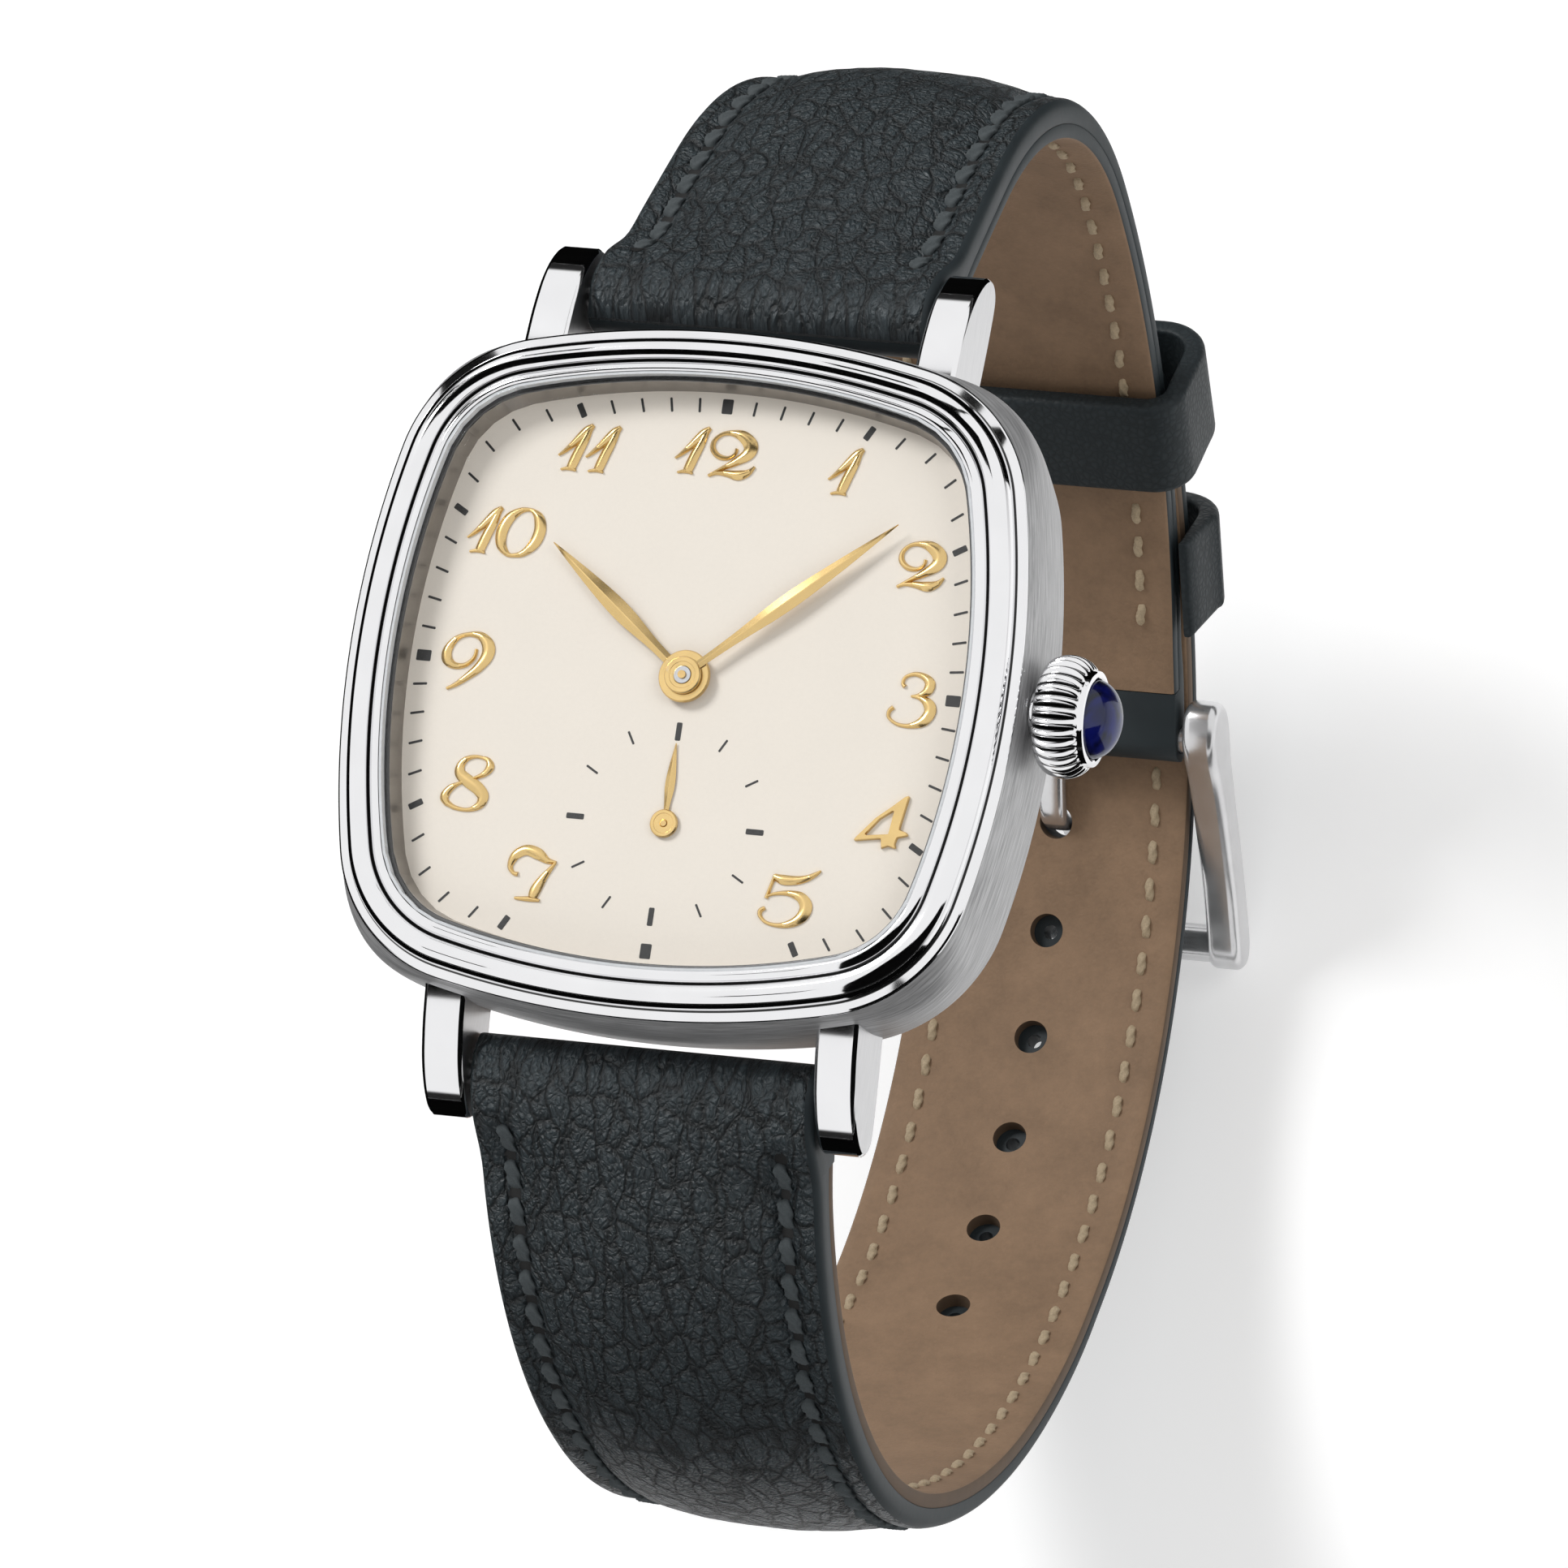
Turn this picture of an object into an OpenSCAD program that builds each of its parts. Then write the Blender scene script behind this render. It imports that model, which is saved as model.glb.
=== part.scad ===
// Dress watch with a cushion case, a small seconds dial and a leather strap closed round a wrist.
// +Z points out of the dial, +Y to 12 o'clock and +X to the crown.
// The origin is the centre of the case back's flat face, on the axis of the hands.

/* [Case] */
// Half width of the bezel's foot, from the axis of the hands to its flat side
bezel_half = 17.1; // [16.9:0.1:17.3]
// How far the brushed band stands out past the bezel's foot
band_swell = 0.3; // [0.1:0.1:0.5]
// Height of the dial's top over the case back's flat face
dial_top = 6.2; // [6.1:0.1:6.4]
// Height of the bezel's seat over the dial's top
seat_rise = 0.85; // [0.75:0.05:1]
// Height of the bezel's crest over the dial's top
crest_rise = 2; // [1.9:0.05:2.2]
// Height of the crystal's dome over the bezel's inner lip
crystal_dome = 0.8; // [0.5:0.1:1.2]
// Thickness of the crystal at its rim
crystal_rim = 0.6; // [0.5:0.05:0.7]
// Thickness of the case back
back_t = 1; // [0.9:0.1:1.2]
// How far the case back is set in from the bezel's foot
back_step = 0.9; // [0.7:0.1:1.2]
// How far the round bore for the movement ring is set in from the bezel's foot
bore_step = 2.7; // [2.6:0.05:2.75]

/* [Lugs] */
// Gap between the lugs, which is also the size that the strap is sold by
lug_gap = 18; // [17.6:0.1:18.4]
// Width of one lug
lug_w = 2.1; // [1.8:0.1:2.4]
// How far the lugs reach past the bezel's foot
lug_reach = 4.8; // [4.6:0.1:5.3]
// Distance from the bezel's foot out to the spring bar
bar_reach = 2.5; // [2.3:0.1:2.6]
// Height of the spring bar over the case back's flat face
bar_z = 2.3; // [2.2:0.1:2.5]

/* [Spring bars] */
// Radius of the spring bar's tube
bar_r = 0.75; // [0.7:0.05:0.8]
// Radius of the spring bar's sliding tips
tip_r = 0.4; // [0.35:0.05:0.45]
// Depth that a tip enters its lug
tip_reach = 0.9; // [0.7:0.1:1.1]

/* [Dial] */
// Thickness of the dial plate
dial_t = 0.3; // [0.25:0.05:0.35]
// Width of the bezel, from its foot in to the dial's visible opening
bezel_w = 2.85; // [2.8:0.05:2.9]
// Height of the raised hour numerals over the dial
numeral_h = 0.16; // [0.1:0.02:0.2]
// Height of one numeral
numeral_size = 2.5; // [2.3:0.1:2.6]

/* [Hands] */
// Length of the minute hand on a movement of the usual 26 mm
minute_len = 12.8; // [12:0.1:13.2]
// Length of the hour hand on such a movement
hour_len = 9.8; // [9:0.1:10]
// Length of the seconds hand on such a movement, from its axis to its tip
seconds_len = 4; // [3.6:0.1:4.2]
// Widest part of the leaf of the minute hand
leaf_w = 0.85; // [0.7:0.05:1]

/* [Crown] */
// Radius of the fluted crown
crown_r = 3; // [2.8:0.1:3.1]
// Length of the fluted body of the crown
crown_len = 2.3; // [2.1:0.1:2.6]
// Number of flutes round the crown
crown_flutes = 30; // [26:1:34]
// Radius of the cabochon set in the crown
cabochon_r = 1.95; // [1.8:0.05:2]
// Travel of the crown when it is pulled out to set the hands
pull_travel = 0.6; // [0.5:0.05:0.65]

/* [Movement] */
// Width of the movement ring, from the case's bore in to the main plate
ring_w = 1.4; // [1.4:0.05:1.5]
// Thickness of the main plate
plate_t = 1.5; // [1.5:0.05:1.55]
// Radius of the balance's rim
balance_r = 2.9; // [2.7:0.05:2.95]

/* [Strap] */
// Width of the strap between the lugs
strap_w = 17.6; // [17.3:0.1:17.6]
// Width of the strap at the buckle
strap_end_w = 14.4; // [14:0.1:14.8]
// Thickness of the strap where it leaves the lugs
strap_t = 3.2; // [3:0.1:3.4]
// Thickness of the strap past its padding
strap_thin = 2.1; // [2:0.05:2.2]
// Thickness of the lining leather
lining_t = 0.8; // [0.7:0.05:0.9]
// Length of the strap's short side, from spring bar to buckle bar
short_len = 72; // [72:1:72]
// Length of the long side that lies over the short side, from the buckle's pin to the tip
overlap_len = 26.4; // [25:0.2:27.6]
// Radius of the punched holes
hole_r = 0.9; // [0.8:0.05:1]
// Distance between punched holes
hole_pitch = 6; // [5.6:0.1:6.2]
// Distance from the buckle's pin to the hole that the tongue is in
tongue_reach = 5.7; // [5.6:0.1:5.8]

/* [Keepers and buckle] */
// Length of a keeper along the strap
keeper_len = 6.2; // [5.6:0.1:6.6]
// Thickness of the keepers' leather
keeper_t = 1.1; // [1:0.05:1.2]
// Distance from the buckle's pin back to the middle of the free keeper
free_keeper_gap = 18.8; // [18.6:0.1:19.2]
// Distance from the buckle's pin back to the middle of the sewn keeper
fixed_keeper_gap = 9; // [8.8:0.1:9.2]
// Length of the buckle frame from its bar to its outer bar
buckle_len = 13; // [12.6:0.1:13.4]
// Radius of the pin that the buckle turns on
pin_r = 0.7; // [0.65:0.05:0.75]

/* [Hidden] */
$fn = 96;

// Small clearance between parts that fit, and a cut's overrun past a face
fit = 0.05;
over = 0.5;

// Half widths and radii of the case, from the bezel's foot
opening_half = bezel_half - bezel_w;
case_bore_r = bezel_half - bore_step;
back_half = bezel_half - back_step;
plate_r = case_bore_r - ring_w;
lug_tip = bezel_half + lug_reach;
bar_y = bezel_half + bar_reach;

// Heights of the case, from the case back up
seat_z = dial_top + seat_rise;
crest_z = dial_top + crest_rise;
dial_low = dial_top - dial_t;
lip_half = opening_half + 0.2;
crystal_half = opening_half + 0.4;
pocket_half = opening_half + 0.75;
crystal_z = dial_top + 1.4;
band_half = bezel_half + band_swell;
back_screw_r = cushion_r(back_half, side_radius(back_half), corner_radius(back_half), 45) - 2.75;
crown_x = band_half + 0.45;

// Heights of the movement, hung from the dial
plate_top = dial_top - 0.8;
plate_low = plate_top - plate_t;
bridge_low = plate_low - 2.4;
bridge_t = 0.8;
stem_z = plate_top - 0.6;

// The movement is drawn with a plate of radius 13, and in_plan() brings it to the plate's own size
calibre_r = 13;
calibre = plate_r / calibre_r;
module in_plan() {
    scale([calibre, calibre, 1]) children();
}

// Centres of the wheels, seen from the dial
centre_at = [0, 0];
seconds_at = [0, -7.27];
third_at = [-2.433, -3.786];
escape_at = seconds_at + [3.96, 0];
lever_dir = [cos(20), sin(20)];
fork_at = escape_at + 1.98 * lever_dir;
balance_at = escape_at + 3.97 * lever_dir;
barrel_at = [2.984, 3.95];
crown_wheel_at = [7.5, 0];
minute_at = [1.966, -1.377];
setting_at = [4.6, -0.42];
click_at = barrel_at + 4.75 * [cos(140), sin(140)];
yoke_at = [7.55, -2.6];
lever_at = [10.4, -2.2];

// Cushion outline: four side arcs joined by four corner arcs that they run into without a kink.
// half is the distance to a flat side, side the radius of a side arc and corner that of a corner.
function side_radius(half) = 36.3 + 3.01 * (half - 13.58);
function corner_radius(half) = 3.72 + 1.1165 * (half - 13.58);
function corner_centre(k, gap) = (2 * k + sqrt(4 * k * k - 8 * (k * k - gap * gap))) / 4;
function cushion_r(half, side, corner, q) =
    let (k = half - side)
    let (c = corner_centre(k, side - corner))
    let (m = max(abs(sin(q)), abs(cos(q))), n = min(abs(sin(q)), abs(cos(q))))
    let (r = m * k + sqrt(m * m * k * k - k * k + side * side))
    let (b = (m + n) * c)
    atan2(n * r, m * r - k) > atan2(c, c - k) ? b + sqrt(b * b - 2 * c * c + corner * corner) : r;
function cushion(half, side, corner, n) =
    [for (i = [0:n - 1]) let (q = 360 * i / n) cushion_r(half, side, corner, q) * [cos(q), sin(q)]];
function outline(half, n = 96) = cushion(half, side_radius(half), corner_radius(half), n);

// Faces that join ring i to ring j of n points, wound for an outside seen from outside
function band_faces(i, j, n) =
    [for (k = [0:n - 1]) [i * n + k, j * n + k, j * n + (k + 1) % n, i * n + (k + 1) % n]];
function lift(points, z) = [for (p = points) [p[0], p[1], z]];

// Solid through a stack of closed rings that have the same number of points
module stack(rings) {
    n = len(rings[0]);
    m = len(rings);
    sides = [for (i = [0:m - 2]) each band_faces(i, i + 1, n)];
    low = [for (k = [0:n - 1]) k];
    high = [for (k = [0:n - 1]) (m - 1) * n + n - 1 - k];
    polyhedron([for (r = rings) each r], concat(sides, [low, high]), convexity = 8);
}

// Ring-shaped solid: its profile is a list of [half width, height], walked up the outside first
module cushion_ring(profile, n = 96) {
    m = len(profile);
    points = [for (p = profile) each lift(outline(p[0], n), p[1])];
    faces = [for (i = [0:m - 1]) each band_faces(i, (i + 1) % m, n)];
    polyhedron(points, faces, convexity = 8);
}

module cushion_plate(half, z, h) {
    translate([0, 0, z]) linear_extrude(h) polygon(outline(half));
}

module post(at, r, z, h) {
    translate([at[0], at[1], z]) cylinder(r = r, h = h);
}

// Flat bar between two points of the plan
module link(a, b, w, z, h) {
    d = b - a;
    translate([a[0], a[1], z]) rotate(atan2(d[1], d[0])) translate([0, -w / 2, 0])
        cube([norm(d), w, h]);
}

module along_x(x, z, r, len, y = 0) {
    translate([x, y, z]) rotate([0, 90, 0]) cylinder(r = r, h = len);
}

// Toothed wheels

// Outline of a wheel with straight-sided teeth a little narrower than the gaps
function tooth_outline(teeth, m) =
    let (r = teeth * m / 2, a = 360 / teeth)
    [for (k = [0:teeth - 1])
        for (p = [[-0.29, -1.1], [-0.13, 0.8], [0.13, 0.8], [0.29, -1.1]])
            (r + p[1] * m) * [cos(a * (k + p[0])), sin(a * (k + p[0]))]];

// Angle at which wheel b meshes with wheel a, for the direction from a to b and a's own angle
function mesh_angle(dir, angle_a, teeth_a, teeth_b) =
    dir + 180 - 360 / teeth_b * (0.5 - (dir - angle_a) * teeth_a / 360);
function direction(a, b) = atan2(b[1] - a[1], b[0] - a[0]);

module toothed(at, teeth, m, z, h, angle = 0) {
    translate([at[0], at[1], z]) rotate(angle) linear_extrude(h) polygon(tooth_outline(teeth, m));
}

// Wheel with a rim, spokes and a hub
module spoked(at, teeth, m, z, h, hub, spokes = 5, angle = 0) {
    r = teeth * m / 2;
    difference() {
        toothed(at, teeth, m, z, h, angle);
        post(at, r - 3.2 * m - 0.12, z - over, h + 2 * over);
    }
    for (k = [0:spokes - 1])
        translate([at[0], at[1], z]) rotate(angle + 360 * k / spokes) translate([0, -0.16, 0])
            cube([r - 1.6 * m - 0.05, 0.32, h]);
    post(at, hub, z, h);
}

// Pivoted arbor: a shoulder between two finer pivots
module arbor(at, low, high, r, pivot) {
    post(at, pivot, low, high - low);
    post(at, r, low + 0.8, high - low - 1.3);
}

// Mesh angles, followed from the small seconds through the train
third_angle = mesh_angle(direction(seconds_at, third_at), 0, 10, 75);
centre_angle = mesh_angle(direction(third_at, centre_at), third_angle, 10, 80);
barrel_angle = mesh_angle(direction(centre_at, barrel_at), centre_angle, 12, 78);
escape_angle = mesh_angle(direction(seconds_at, escape_at), 0, 80, 8);
minute_angle = mesh_angle(direction(centre_at, minute_at), 0, 12, 36);
hour_angle = mesh_angle(direction(minute_at, centre_at), minute_angle, 10, 40);
setting_angle = mesh_angle(direction(minute_at, setting_at), minute_angle, 36, 20);
ratchet_angle = mesh_angle(direction(crown_wheel_at, barrel_at), 0, 36, 54);

// Case

module lug(side, x) {
    // Side view of the blade: arched top, round tip, underside that rises towards the case
    b = bezel_half;
    t = lug_tip;
    blade = [[b - 1.5, 5.9], [b + 0.4, 5.5], [b + 1.5, 5.15], [b + 2.5, 4.72], [b + 3.4, 4.12],
        [t - 0.7, 3.45], [t - 0.2, 2.75], [t, 2.1], [t - 0.15, 1.5], [t - 0.6, 1.05], [t - 1.3, 0.9],
        [b + 2.1, 1.02], [b + 0.5, 1.25], [b - 1.5, 1.6]];
    h = dial_top - 6.2;
    translate([x, 0, h]) rotate([90, 0, 90]) linear_extrude(lug_w)
        polygon([for (p = blade) [side * p[0], p[1]]]);
}

module mid_case() {
    // Barrel-shaped band whose corners are fuller at mid height than at the bezel
    rows = [[band_half - 0.2, 8, back_t], [band_half - 0.1, 7, back_t + 1.2],
        [band_half, 6, back_t + 2.6], [band_half, 5.6, dial_top - 1], [band_half - 0.1, 6.3, dial_top],
        [band_half - 0.4, 7.4, seat_z]];
    color("silver") difference() {
        union() {
            stack([for (r = rows) lift(cushion(r[0], side_radius(r[0]), r[1], 96), r[2])]);
            for (side = [-1, 1]) {
                lug(side, lug_gap / 2);
                lug(side, -lug_gap / 2 - lug_w);
            }
        }
        post(centre_at, case_bore_r, 0, dial_low + 0.001);
        cushion_plate(pocket_half + fit, dial_low, 3);
        // Bores for the crown tube, the spring bars' tips and the case back's screws
        along_x(case_bore_r - 2.4, stem_z, 1, 8);
        for (side = [-1, 1])
            for (x = [-1, 1])
                along_x(x > 0 ? lug_gap / 2 - over : -lug_gap / 2 - 1.3, bar_z, tip_r + fit, 1.3 + over,
                    side * bar_y);
        for (q = [45:90:315])
            post(back_screw_r * [cos(q), sin(q)], 0.45, 0, 3);
    }
}

// Profile of the bezel as [half width, height]: foot, groove, convex band, groove, step, crystal seat
bezel_profile =
    [[bezel_half - 0.35, seat_z], [bezel_half, seat_z + 0.12], [bezel_half - 0.1, seat_z + 0.22],
        [bezel_half - 0.6, seat_z + 0.24], [bezel_half - 0.75, seat_z + 0.75],
        [bezel_half - 1.1, crest_z - 0.05], [bezel_half - 1.4, crest_z - 0.08],
        [bezel_half - 1.7, crest_z - 0.35], [bezel_half - 1.9, crest_z - 0.15],
        [crystal_half + 0.3, crest_z], [crystal_half + 0.16, crest_z - 0.05],
        [crystal_half + 0.16, crystal_z], [lip_half, crystal_z], [lip_half, crystal_z - 0.12],
        [pocket_half - 0.2, seat_z + 0.1], [pocket_half - 0.2, seat_z]];

module bezel() {
    color("silver") cushion_ring(bezel_profile);
}

module crystal() {
    // Domed plate: rings shrink towards the middle as they rise
    rows = [[1, crystal_z + 0.02], [1, crystal_z + 0.02 + crystal_rim], [0.952, crest_z + 0.3 * crystal_dome],
        [0.823, crest_z + 0.62 * crystal_dome], [0.556, crest_z + 0.9 * crystal_dome],
        [0.25, crest_z + crystal_dome]];
    color("white", 0.3) difference() {
        stack([for (r = rows) lift(outline(crystal_half * r[0], 96), r[1])]);
        // Hollow underneath, so that the dome is a shell over the hands
        translate([0, 0, crystal_z - 60.6]) sphere(r = 61.2, $fn = 180);
    }
}

module crystal_gasket() {
    color("white") cushion_ring([[crystal_half + 0.15, crystal_z + 0.02], [crystal_half + 0.15, crest_z - 0.1],
        [crystal_half + 0.01, crest_z - 0.1], [crystal_half + 0.01, crystal_z + 0.02]]);
}

module inner_flange() {
    color("lightgray") cushion_ring([[pocket_half, dial_top], [pocket_half, seat_z],
        [pocket_half - 0.25, seat_z], [pocket_half - 0.25, seat_z + 0.1], [lip_half, crystal_z - 0.13],
        [lip_half - 0.02, crystal_z - 0.13], [opening_half, dial_top]]);
}

module dial() {
    color("ivory") difference() {
        cushion_plate(pocket_half, dial_low, dial_t);
        in_plan() {
            post(centre_at, 0.85, 0, 10);
            post(seconds_at, 0.4, 0, 10);
        }
    }
}

module case_back() {
    color("silver") difference() {
        union() {
            stack([lift(outline(back_half - 0.5), 0), lift(outline(back_half), 0.35), lift(outline(back_half), back_t)]);
            // Spigot that centres the back in the bore
            post(centre_at, case_bore_r - fit, back_t - 0.01, 0.3);
        }
        post(centre_at, case_bore_r - 1.2, back_t, 1);
        for (q = [45:90:315])
            post(back_screw_r * [cos(q), sin(q)], 0.5, -over, 3);
        for (q = [45:90:315])
            post(back_screw_r * [cos(q), sin(q)], 0.85, -over, over + 0.5);
        // Groove for the gasket
        difference() {
            post(centre_at, case_bore_r + 0.65, back_t - 0.25, 1);
            post(centre_at, case_bore_r + 0.15, back_t - 0.3, 2);
        }
    }
}

module case_back_gasket() {
    color("black") translate([0, 0, back_t - 0.25]) difference() {
        cylinder(r = case_bore_r + 0.6, h = 0.25);
        translate([0, 0, -over]) cylinder(r = case_bore_r + 0.2, h = 2);
    }
}

module case_back_screws() {
    color("gray") for (q = [45:90:315])
        translate(back_screw_r * [cos(q), sin(q), 0]) difference() {
            union() {
                translate([0, 0, 0.05]) cylinder(r = 0.8, h = 0.45);
                cylinder(r = 0.42, h = 2.6);
            }
            translate([-1, -0.1, -over]) cube([2, 0.2, over + 0.2]);
        }
}

module movement_ring() {
    color("gray") difference() {
        post(centre_at, case_bore_r - fit, plate_low - 0.6, dial_low - plate_low + 0.6);
        post(centre_at, plate_r + fit, 0, 9);
        along_x(plate_r - 3, stem_z, 1, 8);
    }
}

module crown_tube() {
    color("silver") difference() {
        union() {
            along_x(case_bore_r + 0.1, stem_z, 0.95, band_half + 1 - case_bore_r);
            along_x(band_half, stem_z, 1.3, 0.15);
        }
        along_x(case_bore_r - 0.4, stem_z, 0.6, 6);
    }
}

// Movement plates and bridges

train_posts = [[-6.5, -8.6], [3.2, -11.2], [-6.6, -0.6]];
barrel_posts = [[-8.6, 6], [0.2, 11.2], [9.8, 6.2]];
cock_post = [10.9, -3.6];

module main_plate() {
    color("goldenrod") in_plan() difference() {
        post(centre_at, calibre_r, plate_low, plate_t);
        // Recess for the barrel, open into the one for the motion work
        post(barrel_at, 4.55, plate_low - over, 1.15 + over);
        post(centre_at, 2.25, plate_top - 0.4, 2);
        post(minute_at, 2.05, plate_top - 0.4, 2);
        post(setting_at, 1.2, plate_top - 0.4, 2);
        // Stem bore, pilot bore, clutch slot, pinion slot and the slot for the lever's pin
        along_x(8, stem_z, 0.45, 6);
        along_x(5, stem_z, 0.25, 2);
        translate([6.05, -1.15, plate_low - over]) cube([3.35, 2.3, plate_t + 2 * over]);
        translate([10, -0.5, stem_z]) cube([1.5, 1, 2]);
        // Jewel holes and clearance for the seconds arbor
        for (p = [third_at, escape_at, fork_at, balance_at])
            post(p, 0.45, plate_low - over, 0.8 + over);
        for (p = [centre_at, seconds_at])
            post(p, 0.45, plate_low - over, plate_t + 2 * over);
    }
}

module barrel_bridge() {
    z = plate_low - 1.1;
    color("gainsboro") in_plan() difference() {
        union() {
            difference() {
                post(centre_at, 12.6, z, 0.6);
                translate([-15, -15, z - over]) cube([30, 15.8, 2]);
            }
            for (p = barrel_posts)
                post(p, 1.3, z, 1.1);
            post(crown_wheel_at, 2.4, z, 0.6);
        }
        post(centre_at, 4.4, 0, 9);
        // Bore that the crown wheel's hub turns in
        post(crown_wheel_at, 1.55, 0, 9);
        post(barrel_at, 0.35, 0, 9);
        for (p = barrel_posts)
            post(p, 0.4, 0, 9);
    }
}

module train_bridge() {
    z = bridge_low;
    color("gainsboro") in_plan() difference() {
        union() {
            for (p = [centre_at, third_at, seconds_at, escape_at])
                post(p, 1.15, z, bridge_t);
            post(fork_at, 0.85, z, bridge_t);
            link(centre_at, third_at, 2, z, bridge_t);
            link(third_at, seconds_at, 2, z, bridge_t);
            link(seconds_at, escape_at, 2, z, bridge_t);
            link(escape_at, fork_at, 1.6, z, bridge_t);
            link(centre_at, train_posts[2], 2, z, bridge_t);
            link(third_at, train_posts[0], 2, z, bridge_t);
            link(seconds_at, train_posts[1], 2, z, bridge_t);
            for (p = train_posts)
                post(p, 0.95, z, 2.4);
        }
        for (p = [centre_at, third_at, seconds_at, escape_at, fork_at])
            post(p, 0.45, 0, 4);
        for (p = train_posts)
            post(p, 0.4, 0, 9);
    }
}

module balance_cock() {
    z = bridge_low;
    color("gainsboro") in_plan() difference() {
        union() {
            post(cock_post, 0.95, z, 2.4);
            post(balance_at, 0.95, z, bridge_t);
            link(balance_at, cock_post, 1.7, z, bridge_t);
        }
        post(balance_at, 0.45, 0, 4);
        post(cock_post, 0.4, 0, 9);
    }
}

module slotted_screw(at, low, high) {
    difference() {
        union() {
            post(at, 0.7, low, 0.3);
            post(at, 0.38, low, high - low);
        }
        translate([at[0] - 1, at[1] - 0.1, low - over]) cube([2, 0.2, over + 0.15]);
    }
}

module bridge_screws() {
    color("steelblue") in_plan() {
        for (p = concat(train_posts, [cock_post]))
            slotted_screw(p, bridge_low - 0.3, plate_low);
        for (p = barrel_posts)
            slotted_screw(p, plate_low - 1.4, plate_low);
    }
}

module jewel(at, z, h, bore) {
    difference() {
        post(at, 0.44, z, h);
        post(at, bore, z - over, h + 2 * over);
    }
}

module jewels() {
    color("crimson") in_plan() {
        for (p = [centre_at, third_at, seconds_at, escape_at, fork_at, balance_at])
            jewel(p, bridge_low + 0.2, 0.5, p == centre_at ? 0.22 : 0.15);
        for (p = [third_at, escape_at, fork_at, balance_at])
            jewel(p, plate_low + 0.1, 0.5, 0.15);
        jewel(centre_at, plate_low + 0.1, 0.8, 0.27);
        jewel(seconds_at, plate_low + 0.1, 0.8, 0.2);
    }
}

// Moving wheels of the movement

module barrel() {
    z = plate_low - 0.4;
    color("gold") in_plan() difference() {
        union() {
            toothed(barrel_at, 78, 0.11, z, 0.3, barrel_angle);
            post(barrel_at, 4.05, z, 1.4);
        }
        post(barrel_at, 3.75, z + 0.25, 0.9);
        post(barrel_at, 0.4, z - over, 3);
    }
}

// Spiral strip from one radius to another, as one closed outline
function spiral(r1, r2, turns, w, n) =
    let (a = [for (i = [0:n]) [360 * turns * i / n, r1 + (r2 - r1) * i / n]])
    concat([for (p = a) (p[1] + w / 2) * [cos(p[0]), sin(p[0])]],
        [for (i = [n:-1:0]) (a[i][1] - w / 2) * [cos(a[i][0]), sin(a[i][0])]]);

module mainspring() {
    color("lightsteelblue") in_plan() translate([barrel_at[0], barrel_at[1], plate_low - 0.1]) linear_extrude(0.8)
        polygon(spiral(1.1, 3.6, 7, 0.12, 168));
}

module ratchet_wheel() {
    color("silver") in_plan() {
        difference() {
            toothed(barrel_at, 54, 0.1333, plate_low - 1.45, 0.3, ratchet_angle);
            for (q = [0:60:300])
                post(barrel_at + 2.2 * [cos(q), sin(q)], 0.6, plate_low - 2, 2);
        }
        post(barrel_at, 0.3, plate_low - 1.45, 2.5);
        post(barrel_at, 0.85, plate_low - 0.1, 0.8);
    }
}

module crown_wheel() {
    color("silver") in_plan() difference() {
        union() {
            toothed(crown_wheel_at, 36, 0.1333, plate_low - 1.45, 0.3);
            post(crown_wheel_at, 1.5, plate_low - 1.45, 1.1);
            // Teeth on the upper face, which the winding pinion runs in
            for (q = [0:15:345])
                translate([crown_wheel_at[0], crown_wheel_at[1], plate_low - 0.4]) rotate(q)
                    translate([1, -0.07, 0]) cube([0.48, 0.14, 0.2]);
        }
        post(crown_wheel_at, 0.5, 0, 9);
    }
}

module click() {
    // Pawl whose nose rests in the ratchet wheel's teeth
    d = direction(click_at, barrel_at);
    color("silver") in_plan() difference() {
        union() {
            post(click_at, 0.5, plate_low - 1.45, 0.3);
            translate([click_at[0], click_at[1], plate_low - 1.45]) rotate(d + 40) linear_extrude(0.3)
                polygon([[0, -0.3], [1, -0.35], [1.25, -0.2], [0.9, 0.1], [0, 0.35]]);
        }
        post(click_at, 0.25, 0, 9);
    }
}

module centre_wheel() {
    color("gold") in_plan() {
        spoked(centre_at, 80, 0.1, plate_low - 0.8, 0.2, 0.8, 5, centre_angle);
        toothed(centre_at, 12, 0.11, plate_low - 0.45, 0.4, centre_angle);
        post(centre_at, 0.2, bridge_low + 0.1, dial_top + 0.9 - bridge_low - 0.1);
        post(centre_at, 0.4, bridge_low + bridge_t + 0.05, plate_low - bridge_low - bridge_t - 0.1);
    }
}

module third_wheel() {
    color("gold") in_plan() {
        spoked(third_at, 75, 0.1, plate_low - 1.3, 0.2, 0.7, 5, third_angle);
        toothed(third_at, 10, 0.1, plate_low - 0.95, 0.45, third_angle);
        post(third_at, 0.13, bridge_low + 0.1, 2.9);
        post(third_at, 0.3, bridge_low + bridge_t + 0.05, 1.5);
    }
}

module fourth_wheel() {
    color("gold") in_plan() {
        toothed(seconds_at, 10, 0.1, plate_low - 1.4, 0.45, 0);
        spoked(seconds_at, 80, 0.09, plate_low - 0.45, 0.2, 0.7, 5, 0);
        post(seconds_at, 0.15, bridge_low + 0.25, dial_top + 0.25 - bridge_low - 0.25);
        post(seconds_at, 0.3, bridge_low + bridge_t + 0.05, 1.5);
    }
}

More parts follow.
